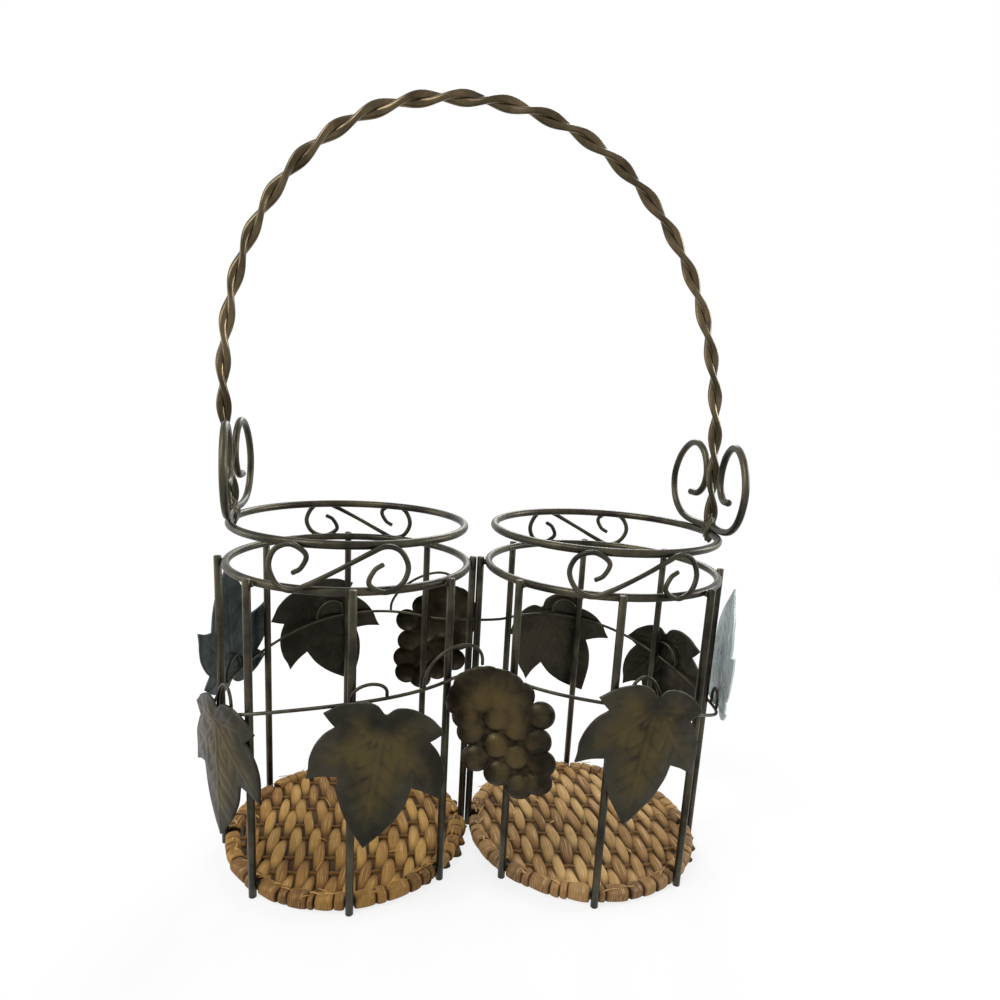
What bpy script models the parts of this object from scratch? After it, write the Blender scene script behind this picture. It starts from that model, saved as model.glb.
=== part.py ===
"""Two-bottle wire wine carrier with a twisted arch handle, vine leaves, grapes and woven mats.

Two round wire cages stand side by side. Each has a base ring, eight upright bars, a neck ring, two S-scrolls
and a top ring. A pair of wires twisted together makes the arch handle, braced by a ram's-horn bracket at each
foot. A thin vine hoop runs round both cages and carries stamped leaves and grape clusters.

Metres, +Z up, X along the pair of cages, origin on the floor in the middle.
"""
import math

import bmesh
import bpy
from mathutils import Matrix, Vector
from mathutils.geometry import delaunay_2d_cdt

# Welded joints, drawn as touching faces with a hair of clearance
GAP = 0.0003

# Rings and bars of one cage
CAGE_RADIUS = 0.054
TOP_RING_RADIUS = 0.052
RING_WIRE = 0.0035
BAR_WIRE = 0.0034
BAR_COUNT = 8
BAR_TURN = 6.0
NECK_RING_HEIGHT = 0.141
TOP_RING_HEIGHT = 0.159
RING_STEPS = 32
RING_SIDES = 8
BAR_SIDES = 8

# Woven mat, wrapped round the base ring
MAT_WRAP = 0.0014
MAT_FLOOR_TOP = 0.0052
MAT_FLOOR_UNDERSIDE = 0.0010
MAT_ROLL_WIDTH = 0.0080
MAT_NOTCH_ROOM = 0.0010
MAT_ROLL_STEPS = 7
BASE_RING_SIDES = 6

# S-scrolls between the neck ring and the top ring
SCROLL_WIRE = 0.0022
SCROLL_HALF_WIDTH = 0.0280
SCROLL_STEPS = 30
SCROLL_HALF_SHARES = ((0.00, 0.00), (0.42, 0.70), (0.66, 0.99), (0.88, 0.75), (1.00, 0.02),
                      (0.90, -0.70), (0.65, -0.99), (0.43, -0.60), (0.50, -0.02), (0.62, 0.22))

# Arch handle, two wires twisted left-handed
STRAND_WIRE = 0.0040
HANDLE_TOP_HEIGHT = 0.337
HANDLE_SPRING_HEIGHT = 0.200
HANDLE_SIDE_LEAN = -0.0110
HANDLE_ARCH_POWER = 2.15
HANDLE_TURNS = 11.5
HANDLE_STEPS_PER_TURN = 10
HANDLE_LEG_SAMPLES = 20
HANDLE_ARCH_SAMPLES = 480

# Ram's-horn brackets beside the handle's feet; the front and back halves of the left and of the right bracket
# are each bent inwards by some degrees
BRACKET_WIRE = 0.0032
BRACKET_HALF_WIDTH = 0.0375
BRACKET_RISE = 0.0385
BRACKET_STEPS = 50
BRACKET_TOE_IN = ((9.0, 0.0), (4.0, 8.5))
BRACKET_HALF_SHARES = ((0.54, 0.36), (0.36, 0.37), (0.235, 0.48), (0.20, 0.66), (0.29, 0.87), (0.47, 0.99),
                       (0.68, 0.97), (0.89, 0.80), (1.00, 0.53), (0.93, 0.25), (0.74, 0.07), (0.45, 0.00))

# Vine hoop round both cages
VINE_WIRE = 0.0015
VINE_HEIGHT = 0.099
VINE_DROOP = 0.025
VINE_DROOP_POWER = 3.3
VINE_VALLEY_REACH = 0.008
VINE_ARC_STEPS = 30
VINE_VALLEY_STEPS = 8
VINE_SEAT_STEPS = 8

# Small arched stems that tie leaves and grapes to the hoop
STEM_WIRE = 0.0014
STEM_SPAN = 0.0140
STEM_RISE = 0.0085
STEM_STEPS = 7
GRAPE_STEM_RISE = 0.0125

# Stamped leaf: half outline from the main tip up to the stem notch, and the veins
SHEET = 0.0010
LEAF_HALF_WIDTH = 0.0270
LEAF_LENGTH = 0.0610
LEAF_FOLD = 0.0016
LEAF_CURL = 0.0022
LEAF_VEIN_RISE = 0.0009
LEAF_OUTLINE_SHARES = ((0.00, 0.00), (0.21, 0.09), (0.38, 0.20), (0.50, 0.33), (0.55, 0.455), (0.95, 0.41),
                       (1.00, 0.52), (0.95, 0.63), (0.84, 0.72), (0.69, 0.79), (0.84, 0.87), (0.66, 0.955),
                       (0.38, 1.00), (0.15, 0.995), (0.02, 0.945))
LEAF_VEIN_ROOT_SHARES = (0.0, 0.86)
LEAF_VEIN_TIP_SHARES = ((0.00, 0.00), (0.95, 0.41), (0.84, 0.87))
LEAF_VEIN_STOP_SHARES = (0.35, 0.70)

# Stamped grape cluster: grape centres as shares of its half width and half height
GRAPE_RADIUS = 0.0053
GRAPE_RIM = 0.0063
GRAPE_BULGE = 0.0028
GRAPE_SHOULDER_SHARE = 0.62
GRAPE_SHOULDER_STEPS = 6
CLUSTER_HALF_WIDTH = 0.0163
CLUSTER_HALF_HEIGHT = 0.0253
GRAPE_ARC_STEPS = 9
GRAPE_PLACE_SHARES = ((-1.00, 0.65), (-0.69, 0.95), (-0.33, 1.00), (0.05, 0.93), (0.34, 0.81), (0.57, 0.61),
                      (0.99, 0.21), (0.77, -0.25), (0.77, -0.66), (0.59, -0.98), (0.08, -1.00), (-0.41, -0.70),
                      (-0.91, -0.38), (-0.88, 0.11), (-0.92, 0.40), (-0.15, 0.29), (0.31, 0.05), (-0.31, -0.20),
                      (0.16, -0.46), (-0.43, 0.65), (0.03, 0.61), (0.42, 0.35))

# Where leaves and clusters hang: cage side, angle round the cage, height above the hoop as a share of the
# piece's own height, lean in its own plane, and turn away from facing straight out. A cluster also has the
# cage side and angle of its stem's foot, and the number of the grape that the stem ends on
LEAF_PLACES = (
    ("leaf_left_front", -1, -74.0, -0.48, -8.0, -20.0),
    ("leaf_right_front", 1, -84.0, -0.34, -10.0, 0.0),
    ("leaf_left_corner", -1, -143.5, -0.39, 1.0, 5.0),
    ("leaf_left_side", -1, 162.0, 0.40, 178.0, -4.0),
    ("leaf_left_back", -1, 105.0, -0.17, -25.0, -2.0),
    ("leaf_right_back", 1, 91.5, -0.32, -28.0, -1.0),
    ("leaf_right_corner", 1, 33.0, -0.20, -6.0, 0.0),
    ("leaf_right_side", 1, -15.0, 0.48, 182.0, 4.0),
)
CLUSTER_PLACES = (
    ("grapes_front", 1, -141.0, -0.33, 14.0, 40.0, -1, -55.0, 2),
    ("grapes_back", -1, 49.0, -0.22, 12.0, 30.0, -1, 73.0, 2),
)

# Sizes that follow from those above
RING_HALF = RING_WIRE / 2
BAR_HALF = BAR_WIRE / 2
VINE_HALF = VINE_WIRE / 2
BAR_CIRCLE = CAGE_RADIUS + RING_HALF + GAP + BAR_HALF
CAGE_OFFSET = GAP / 2 + max(BAR_CIRCLE * math.cos(math.radians(BAR_TURN)) + BAR_HALF,
                           TOP_RING_RADIUS + RING_HALF,
                           CAGE_RADIUS + max(RING_WIRE, MAT_ROLL_WIDTH) / 2)
BASE_RING_HEIGHT = MAT_WRAP + GAP + RING_HALF
BAR_TOP = NECK_RING_HEIGHT + RING_HALF
VINE_RADIUS = BAR_CIRCLE + BAR_HALF + GAP + VINE_HALF
TWIST_RADIUS = (STRAND_WIRE + GAP) / 2 / math.cos(math.pi / HANDLE_STEPS_PER_TURN)
BRACKET_X = CAGE_OFFSET + TOP_RING_RADIUS
BRACKET_HEIGHT = TOP_RING_HEIGHT + RING_HALF + GAP + BRACKET_WIRE / 2
HANDLE_FOOT_HEIGHT = BRACKET_HEIGHT + BRACKET_WIRE / 2 + GAP


def clear_scene():
    """Remove every object, so that the script can be run again."""
    for item in list(bpy.data.objects):
        bpy.data.objects.remove(item, do_unlink=True)


def material(name, colour, roughness, metallic):
    """A Principled surface."""
    made = bpy.data.materials.new(name)
    made.use_nodes = True
    shader = made.node_tree.nodes["Principled BSDF"]
    shader.inputs["Base Color"].default_value = (*colour, 1.0)
    shader.inputs["Roughness"].default_value = roughness
    shader.inputs["Metallic"].default_value = metallic
    made.diffuse_color = (*colour, 1.0)
    return made


def place(name, data, surface):
    """Link a mesh or curve as one named sub-part."""
    data.materials.append(surface)
    item = bpy.data.objects.new(name, data)
    bpy.context.collection.objects.link(item)
    return item


def mesh_from(bm, name):
    """Turn a bmesh into a mesh with outward faces and smooth shading."""
    bmesh.ops.recalc_face_normals(bm, faces=bm.faces)
    data = bpy.data.meshes.new(name)
    bm.to_mesh(data)
    bm.free()
    data.shade_smooth()
    data.set_sharp_from_angle(angle=math.radians(50))
    return data


def smooth_path(corners, steps):
    """An even polyline through the corners of a Catmull-Rom curve."""
    ends = [corners[0] * 2 - corners[1], *corners, corners[-1] * 2 - corners[-2]]
    fine = []
    for before, start, stop, after in zip(ends, ends[1:], ends[2:], ends[3:]):
        for step in range(steps):
            t = step / steps
            fine.append(start + (stop - before) * (t / 2)
                        + (before * 2 - start * 5 + stop * 4 - after) * (t ** 2 / 2)
                        + (start * 3 - before - stop * 3 + after) * (t ** 3 / 2))
    fine.append(corners[-1])
    return resample(fine, steps)


def resample(path, count):
    """Points at even distances along a polyline."""
    lengths = [0.0]
    for start, stop in zip(path, path[1:]):
        lengths.append(lengths[-1] + (stop - start).length)
    even = []
    piece = 0
    for step in range(count + 1):
        wanted = lengths[-1] * step / count
        while piece < len(path) - 2 and lengths[piece + 1] < wanted:
            piece += 1
        share = (wanted - lengths[piece]) / (lengths[piece + 1] - lengths[piece])
        even.append(path[piece].lerp(path[piece + 1], share))
    return even


def wire(name, path, thickness, surface, closed=False, sides=6):
    """A round wire along a path: a poly curve with a bevel and filled ends."""
    data = bpy.data.curves.new(name, "CURVE")
    data.dimensions = "3D"
    data.bevel_depth = thickness / 2
    data.bevel_resolution = (sides - 4) // 2
    data.use_fill_caps = True
    spline = data.splines.new("POLY")
    spline.points.add(len(path) - 1)
    for point, spot in zip(spline.points, path):
        point.co = (*spot, 1.0)
    spline.use_cyclic_u = closed
    spline.use_smooth = True
    return place(name, data, surface)


def ring_mesh(name, centre, radius, thickness, sides, start=0.0):
    """A torus whose corners start at a given angle, so that the bars meet them."""
    bm = bmesh.new()
    loops = []
    for step in range(RING_STEPS):
        turn = math.radians(start) + math.tau * step / RING_STEPS
        loop = []
        for side in range(sides):
            tilt = math.tau * side / sides
            reach = radius + thickness / 2 * math.cos(tilt)
            spot = Vector((reach * math.cos(turn), reach * math.sin(turn), thickness / 2 * math.sin(tilt)))
            loop.append(bm.verts.new(centre + spot))
        loops.append(loop)
    for loop, following in zip(loops, loops[1:] + loops[:1]):
        for side in range(sides):
            after = (side + 1) % sides
            bm.faces.new((loop[side], following[side], following[after], loop[after]))
    return mesh_from(bm, name)


def turned_mesh(name, centre, profile, start):
    """A solid turned round Z from a profile that starts and ends on the axis."""
    bm = bmesh.new()
    loops = []
    for reach, height in profile[1:-1]:
        loop = []
        for step in range(RING_STEPS):
            turn = math.radians(start) + math.tau * step / RING_STEPS
            loop.append(bm.verts.new(centre + Vector((reach * math.cos(turn), reach * math.sin(turn), height))))
        loops.append(loop)
    poles = [bm.verts.new(centre + Vector((0, 0, profile[end][1]))) for end in (0, -1)]
    for step in range(RING_STEPS):
        after = (step + 1) % RING_STEPS
        bm.faces.new((poles[0], loops[0][step], loops[0][after]))
        bm.faces.new((poles[1], loops[-1][after], loops[-1][step]))
        for loop, following in zip(loops, loops[1:]):
            bm.faces.new((loop[step], following[step], following[after], loop[after]))
    return mesh_from(bm, name)


def cut(item, cutter):
    """Subtract a guide solid, which stays hidden."""
    cutter.hide_render = True
    cutter.display_type = "WIRE"
    change = item.modifiers.new(cutter.name, "BOOLEAN")
    change.operation = "DIFFERENCE"
    change.solver = "EXACT"
    change.object = cutter


def rod(name, foot, height, thickness, sides, surface):
    """An upright round bar."""
    bm = bmesh.new()
    bmesh.ops.create_cone(bm, cap_ends=True, segments=sides, radius1=thickness / 2, radius2=thickness / 2,
                          depth=height, matrix=Matrix.Translation(foot + Vector((0, 0, height / 2))))
    return place(name, mesh_from(bm, name), surface)


def on_cage(side, radius, angle, height):
    """A point at an angle round the left (-1) or right (+1) cage."""
    turn = math.radians(angle)
    return Vector((side * CAGE_OFFSET + radius * math.cos(turn), radius * math.sin(turn), height))


def bar_angle(side, bar):
    """A bar's angle: both cages are turned a little, mirrored about the middle."""
    angle = BAR_TURN + 360 / BAR_COUNT * bar
    return angle if side < 0 else 180 - angle


def make_mat(name, side, surface):
    """The woven mat's body: a floor and a roll round the base ring, notched where bars meet the ring."""
    centre = Vector((side * CAGE_OFFSET, 0, 0))
    roll = RING_HALF + GAP + MAT_WRAP
    inner = CAGE_RADIUS - MAT_ROLL_WIDTH
    profile = [(0, MAT_FLOOR_TOP), (inner, MAT_FLOOR_TOP)]
    for step in range(MAT_ROLL_STEPS):
        tilt = math.pi / 2 - math.pi * step / (MAT_ROLL_STEPS - 1)
        profile.append((CAGE_RADIUS + roll * math.cos(tilt), BASE_RING_HEIGHT + roll * math.sin(tilt)))
    profile += [(inner + MAT_WRAP, 0), (inner, MAT_FLOOR_UNDERSIDE), (0, MAT_FLOOR_UNDERSIDE)]
    start = bar_angle(side, 0)
    mat = place(name, turned_mesh(name, centre, profile, start), surface)
    tunnel = ring_mesh(name + "_tunnel", centre + Vector((0, 0, BASE_RING_HEIGHT)), CAGE_RADIUS,
                       RING_WIRE + GAP * 2, BASE_RING_SIDES, start)
    cut(mat, place(name + "_tunnel", tunnel, surface))
    for bar in range(BAR_COUNT):
        foot = on_cage(side, BAR_CIRCLE, bar_angle(side, bar), -roll)
        notch = rod(f"{name}_notch_{bar + 1}", foot, roll * 4, BAR_WIRE + MAT_NOTCH_ROOM * 2, BAR_SIDES, surface)
        cut(mat, notch)
    return mat


def scroll_path(side, facing):
    """An S-scroll laid on the outside of the neck ring and the top ring."""
    half_height = (TOP_RING_HEIGHT - NECK_RING_HEIGHT) / 2
    middle = NECK_RING_HEIGHT + half_height
    stand_off = RING_HALF + GAP + SCROLL_WIRE / 2
    half = [Vector((across * SCROLL_HALF_WIDTH, up * half_height, 0)) for across, up in SCROLL_HALF_SHARES]
    flat = [-spot for spot in reversed(half[1:])] + half
    path = []
    for spot in smooth_path(flat, SCROLL_STEPS):
        share = (spot.y / half_height + 1) / 2
        radius = stand_off + CAGE_RADIUS + (TOP_RING_RADIUS - CAGE_RADIUS) * share
        path.append(on_cage(side, radius, facing + math.degrees(spot.x / radius), middle + spot.y))
    return path


def make_cage(word, side, iron, grass):
    """One cage: rings, bars, scrolls and its mat."""
    centre = Vector((side * CAGE_OFFSET, 0, 0))
    for title, radius, height, sides in (("base_ring", CAGE_RADIUS, BASE_RING_HEIGHT, BASE_RING_SIDES),
                                         ("neck_ring", CAGE_RADIUS, NECK_RING_HEIGHT, RING_SIDES),
                                         ("top_ring", TOP_RING_RADIUS, TOP_RING_HEIGHT, RING_SIDES)):
        name = f"{word}_{title}"
        start = 0.0 if title == "top_ring" else bar_angle(side, 0)
        place(name, ring_mesh(name, centre + Vector((0, 0, height)), radius, RING_WIRE, sides, start), iron)
    for bar in range(BAR_COUNT):
        foot = on_cage(side, BAR_CIRCLE, bar_angle(side, bar), 0)
        rod(f"{word}_bar_{bar + 1}", foot, BAR_TOP, BAR_WIRE, BAR_SIDES, iron)
    for title, facing in (("front", -90), ("back", 90)):
        wire(f"{word}_scroll_{title}", scroll_path(side, facing), SCROLL_WIRE, iron)
    make_mat(f"{word}_mat", side, grass)


def handle_line():
    """The arch's centre line: upright legs on the brackets and a superelliptic top that leans a little."""
    crown = HANDLE_TOP_HEIGHT - HANDLE_SPRING_HEIGHT
    start = HANDLE_FOOT_HEIGHT + STRAND_WIRE
    leg = []
    for step in range(HANDLE_LEG_SAMPLES):
        share = step / HANDLE_LEG_SAMPLES
        leg.append(Vector((-BRACKET_X, 0, start + (HANDLE_SPRING_HEIGHT - start) * share)))
    arch = []
    for step in range(HANDLE_ARCH_SAMPLES + 1):
        turn = math.pi * step / HANDLE_ARCH_SAMPLES
        across = math.copysign(abs(math.cos(turn)) ** (2 / HANDLE_ARCH_POWER), math.cos(turn))
        up = abs(math.sin(turn)) ** (2 / HANDLE_ARCH_POWER)
        arch.append(Vector((-BRACKET_X * across, 0, HANDLE_SPRING_HEIGHT + crown * up)))
    mirrored = [Vector((-spot.x, 0, spot.z)) for spot in reversed(leg)]
    line = leg + arch + mirrored
    for spot in line:
        spot.x += HANDLE_SIDE_LEAN * (spot.z - start) / (HANDLE_TOP_HEIGHT - start)
    return line


def strand_path(phase):
    """One strand, wound left-handed round the arch, its upright ends standing on the brackets."""
    count = round(HANDLE_TURNS * HANDLE_STEPS_PER_TURN)
    line = resample(handle_line(), count)
    path = []
    for step, spot in enumerate(line):
        along = (line[min(step + 1, count)] - line[max(step - 1, 0)]).normalized()
        outward = Vector((-along.z, 0, along.x))
        turn = phase + math.tau * step / HANDLE_STEPS_PER_TURN
        path.append(spot + TWIST_RADIUS * (math.cos(turn) * outward + math.sin(turn) * Vector((0, 1, 0))))
    drop = Vector((0, 0, STRAND_WIRE))
    return [path[0] - drop, *path, path[-1] - drop]


def bracket_spot(side, across, up, toe_in):
    """A point of the bracket's wire, with its half bent inwards about the handle's foot."""
    turn = math.radians(toe_in)
    reach = across * BRACKET_HALF_WIDTH
    return Vector((side * (BRACKET_X - abs(reach) * math.sin(turn)), reach * math.cos(turn),
                   BRACKET_HEIGHT + up * BRACKET_RISE))


def bracket_path(side):
    """Two ram's-horn loops in one wire, standing on the top ring outside the handle's foot."""
    front_toe, back_toe = BRACKET_TOE_IN[(side + 1) // 2]
    back = [bracket_spot(side, across, up, back_toe) for across, up in BRACKET_HALF_SHARES]
    front = [bracket_spot(side, -across, up, front_toe) for across, up in reversed(BRACKET_HALF_SHARES)]
    return smooth_path(back + [bracket_spot(side, 0, 0, 0)] + front, BRACKET_STEPS)


def vine_height(spot):
    """The hoop's height, highest in the middle and drooping to both ends."""
    return VINE_HEIGHT - VINE_DROOP * (abs(spot.x) / (CAGE_OFFSET + VINE_RADIUS)) ** VINE_DROOP_POWER


def valley(start, stop):
    """The hoop's run from one cage to the other, drawn in slightly."""
    reach = math.copysign(VINE_VALLEY_REACH * math.sqrt(0.5), -start.y)
    lead = Vector((math.copysign(reach, stop.x - start.x), reach, 0))
    tail = Vector((-lead.x, lead.y, 0))
    run = []
    for step in range(1, VINE_VALLEY_STEPS):
        t = step / VINE_VALLEY_STEPS
        run.append(start * (1 - t) ** 3 + (start + lead) * 3 * t * (1 - t) ** 2
                   + (stop + tail) * 3 * t ** 2 * (1 - t) + stop * t ** 3)
    return run


def vine_path():
    """The hoop round the outside of both cages, with a corner at each bar that it passes."""
    span = 360 - 720 / BAR_COUNT
    left = [on_cage(-1, VINE_RADIUS, bar_angle(-1, 1) + span * step / VINE_ARC_STEPS, 0)
            for step in range(VINE_ARC_STEPS + 1)]
    right = [Vector((-spot.x, spot.y, 0)) for spot in reversed(left)]
    path = left + valley(left[-1], right[0]) + right + valley(right[-1], left[0])
    for spot in path:
        spot.z = vine_height(spot)
    return path


def vine_spot(side, angle):
    """A point on the hoop at an angle round one cage."""
    spot = on_cage(side, VINE_RADIUS, angle, 0)
    spot.z = vine_height(spot)
    return spot


def sheet_mesh(name, outline, inner, under, over, frame):
    """A stamped sheet: a triangulated outline, its back and its front each raised to a height field."""
    flat = [Vector(spot) for spot in outline + inner]
    points, _, faces, _, _, _ = delaunay_2d_cdt(flat, [], [list(range(len(outline)))], 1, 1e-9)
    bm = bmesh.new()
    back = [bm.verts.new(frame @ Vector((x, y, under(x, y)))) for x, y in points]
    front = [bm.verts.new(frame @ Vector((x, y, over(x, y) + SHEET))) for x, y in points]
    rim = {}
    for face in faces:
        corners = [points[index] for index in face]
        turn = (corners[1] - corners[0]).cross(corners[2] - corners[0])
        order = list(face) if turn > 0 else list(reversed(face))
        bm.faces.new([front[index] for index in order])
        bm.faces.new([back[index] for index in reversed(order)])
        for start, stop in zip(order, order[1:] + order[:1]):
            if rim.pop((stop, start), None) is None:
                rim[(start, stop)] = True
    for start, stop in rim:
        bm.faces.new((front[start], back[start], back[stop], front[stop]))
    return mesh_from(bm, name)


def leaf_spot(shares):
    """A place on the leaf from its shares: middle of the leaf at zero, main tip down."""
    across, up = shares
    return (across * LEAF_HALF_WIDTH, (up - 0.5) * LEAF_LENGTH)


def leaf_veins():
    """The five veins, each from the root to a tip."""
    root = Vector(leaf_spot(LEAF_VEIN_ROOT_SHARES))
    veins = []
    for across, up in LEAF_VEIN_TIP_SHARES:
        veins.append((root, Vector(leaf_spot((across, up)))))
        if across:
            veins.append((root, Vector(leaf_spot((-across, up)))))
    return veins


def leaf_level(x, y):
    """The leaf without its veins: folded along the midrib and curled back at the sides."""
    share = min(abs(x) / LEAF_HALF_WIDTH, 1)
    return -LEAF_FOLD * share - LEAF_CURL * share ** 2


def leaf_height(x, y):
    """The leaf with its raised veins."""
    level = leaf_level(x, y)
    spot = Vector((x, y))
    for root, tip in leaf_veins():
        along = tip - root
        t = min(max((spot - root).dot(along) / along.length_squared, 0), 1)
        if (spot - root - along * t).length < SHEET:
            return level + LEAF_VEIN_RISE
    return level


def leaf_outline():
    """The whole leaf's edge."""
    right = [leaf_spot(shares) for shares in LEAF_OUTLINE_SHARES]
    left = [(-x, y) for x, y in reversed(right[1:])]
    return right + left


def leaf_inner():
    """Points on the veins, and one between neighbouring veins."""
    inner = [leaf_spot(LEAF_VEIN_ROOT_SHARES)]
    for root, tip in leaf_veins():
        inner += [tuple(root.lerp(tip, stop)) for stop in LEAF_VEIN_STOP_SHARES]
    return inner


def grape_centres():
    """Where the grapes' middles lie on the cluster."""
    return [Vector((across * CLUSTER_HALF_WIDTH, up * CLUSTER_HALF_HEIGHT)) for across, up in GRAPE_PLACE_SHARES]


def grape_level(x, y):
    """The flat web between the grapes."""
    return 0.0


def grape_height(x, y):
    """The highest of the grapes' domes at a point."""
    spot = Vector((x, y))
    nearest = min((spot - centre).length for centre in grape_centres())
    return GRAPE_BULGE * math.sqrt(max(1 - (nearest / GRAPE_RADIUS) ** 2, 0))


def grape_outline():
    """The outer edge of the flat rims round all the grapes, walked anticlockwise."""
    centres = grape_centres()
    now = max(range(len(centres)), key=lambda index: centres[index].x)
    first = now
    angle = 0.0
    outline = []
    while True:
        best = None
        for other, centre in enumerate(centres):
            across = centre - centres[now]
            if other == now or across.length >= 2 * GRAPE_RIM:
                continue
            meet = math.atan2(across.y, across.x) - math.acos(across.length / (2 * GRAPE_RIM))
            travel = (meet - angle) % math.tau
            if best is None or travel < best[0]:
                best = (travel, other, meet)
        travel, other, meet = best
        closing = now == first and len(outline) > 0 and -angle % math.tau <= travel
        if closing:
            travel = -angle % math.tau
        steps = max(round(travel / math.tau * GRAPE_ARC_STEPS), 1)
        for step in range(steps):
            turn = angle + travel * step / steps
            outline.append(tuple(centres[now] + Vector((math.cos(turn), math.sin(turn))) * GRAPE_RIM))
        if closing:
            return outline
        corner = centres[now] + Vector((math.cos(meet), math.sin(meet))) * GRAPE_RIM
        now = other
        angle = math.atan2(corner.y - centres[now].y, corner.x - centres[now].x)


def grape_inner():
    """Each grape's middle and shoulder, and the valley between neighbouring grapes."""
    centres = grape_centres()
    inner = [tuple(centre) for centre in centres]
    for centre in centres:
        for step in range(GRAPE_SHOULDER_STEPS):
            turn = math.tau * step / GRAPE_SHOULDER_STEPS
            arm = Vector((math.cos(turn), math.sin(turn))) * GRAPE_RADIUS * GRAPE_SHOULDER_SHARE
            inner.append(tuple(centre + arm))
    for first, one in enumerate(centres):
        for two in centres[first + 1:]:
            if (one - two).length < 2 * GRAPE_RIM:
                inner.append(tuple((one + two) / 2))
    return inner


def facing_frame(anchor, angle, rise, lean):
    """A frame whose X runs along the cage, Y up and Z out, leaned in its own plane."""
    turn = math.radians(angle)
    out = Vector((math.cos(turn), math.sin(turn), 0))
    across = Vector((0, 0, 1)).cross(out)
    basis = Matrix((across, Vector((0, 0, 1)), out)).transposed().to_4x4()
    return Matrix.Translation(anchor + Vector((0, 0, rise))) @ basis @ Matrix.Rotation(math.radians(lean), 4, "Z")


def covers(outline, spot, margin):
    """Whether a point lies within an outline, or nearer than a margin to its edge."""
    inside = False
    for start, stop in zip(outline, outline[1:] + outline[:1]):
        start, stop = Vector(start), Vector(stop)
        along = stop - start
        share = min(max((spot - start).dot(along) / along.length_squared, 0), 1)
        if (spot - start - along * share).length < margin:
            return True
        if (start.y > spot.y) != (stop.y > spot.y) and spot.x < start.x + along.x * (spot.y - start.y) / along.y:
            inside = not inside
    return inside


def seat_outside(frame, outline, level, hoop):
    """Push a frame outwards until the back of the sheet's low parts clears the hoop."""
    width = max(abs(x) for x, y in outline) + VINE_WIRE
    tall = max(abs(y) for x, y in outline) + VINE_WIRE
    inward = frame.inverted()
    push = -width
    for start, stop in zip(hoop, hoop[1:] + hoop[:1]):
        for step in range(VINE_SEAT_STEPS):
            local = inward @ start.lerp(stop, step / VINE_SEAT_STEPS)
            if abs(local.x) > width or abs(local.y) > tall or local.z < -width:
                continue
            if covers(outline, local.to_2d(), VINE_HALF + GAP):
                push = max(push, local.z - level(local.x, local.y))
    return frame @ Matrix.Translation((0, 0, push + VINE_HALF + GAP))


def stem_path(start, stop, rise):
    """A small arch with upright ends."""
    lift = Vector((0, 0, STEM_WIRE))
    path = [start]
    for step in range(STEM_STEPS + 1):
        turn = math.pi * step / STEM_STEPS
        spot = start.lerp(stop, (1 - math.cos(turn)) / 2) + lift
        path.append(spot + Vector((0, 0, (rise - STEM_WIRE) * math.sin(turn))))
    path.append(stop)
    return path


def stem_foot(side, angle):
    """A place just clear of the hoop's upper side, allowing for its slope."""
    half_angle = math.degrees(STEM_WIRE / 2 / VINE_RADIUS)
    spots = [vine_spot(side, angle + step * half_angle) for step in (-1, 1)]
    spot = vine_spot(side, angle)
    spot.z = max(near.z for near in spots) + VINE_HALF + GAP
    return spot


def make_leaves(hoop, sheet_metal, iron):
    """Leaves outside the hoop, each with its stem standing on the hoop."""
    outline, inner = leaf_outline(), leaf_inner()
    half_angle = math.degrees(STEM_SPAN / 2 / VINE_RADIUS)
    for name, side, angle, rise, lean, turn in LEAF_PLACES:
        frame = facing_frame(vine_spot(side, angle), angle + turn, rise * LEAF_LENGTH, lean)
        frame = seat_outside(frame, outline, leaf_level, hoop)
        place(name, sheet_mesh(name, outline, inner, leaf_level, leaf_height, frame), sheet_metal)
        feet = [stem_foot(side, angle + step * half_angle) for step in (-1, 1)]
        wire(name + "_stem", stem_path(*feet, STEM_RISE), STEM_WIRE, iron)


def make_clusters(hoop, sheet_metal, iron):
    """Grape clusters, each hung from a longer arched stem."""
    outline, inner = grape_outline(), grape_inner()
    for name, side, angle, rise, lean, turn, foot_side, foot_angle, grape in CLUSTER_PLACES:
        drop = rise * 2 * (CLUSTER_HALF_HEIGHT + GRAPE_RIM)
        frame = facing_frame(vine_spot(side, angle), angle + turn, drop, lean)
        frame = seat_outside(frame, outline, grape_level, hoop)
        place(name, sheet_mesh(name, outline, inner, grape_height, grape_height, frame), sheet_metal)
        top = frame @ Vector((*grape_centres()[grape], SHEET / 2)) + Vector((0, 0, GRAPE_RIM + GAP))
        wire(name + "_stem", stem_path(stem_foot(foot_side, foot_angle), top, GRAPE_STEM_RISE), STEM_WIRE, iron)


def build():
    """Make every sub-part of the carrier."""
    clear_scene()
    iron = material("bronzed_iron", (0.045, 0.040, 0.028), 0.42, 0.75)
    sheet_metal = material("bronzed_sheet", (0.050, 0.046, 0.028), 0.50, 0.70)
    grass = material("seagrass", (0.42, 0.27, 0.12), 0.80, 0.0)
    for word, side in (("left", -1), ("right", 1)):
        make_cage(word, side, iron, grass)
        wire(f"{word}_bracket", bracket_path(side), BRACKET_WIRE, iron)
    for word, phase in (("a", math.pi / 2), ("b", -math.pi / 2)):
        wire(f"handle_strand_{word}", strand_path(phase), STRAND_WIRE, iron)
    hoop = vine_path()
    wire("vine_hoop", hoop, VINE_WIRE, iron, closed=True)
    make_leaves(hoop, sheet_metal, iron)
    make_clusters(hoop, sheet_metal, iron)


build()
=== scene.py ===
"""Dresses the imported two-bottle wire wine carrier: twisted handle, leaves, grapes and woven grass mats."""
from __future__ import annotations

import logging
import math
import random
from dataclasses import dataclass, field
from enum import Enum
from typing import Any, Callable, Sequence

import bmesh
import bpy
import numpy as np
from mathutils import Matrix, Vector
from mathutils.geometry import delaunay_2d_cdt

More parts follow.
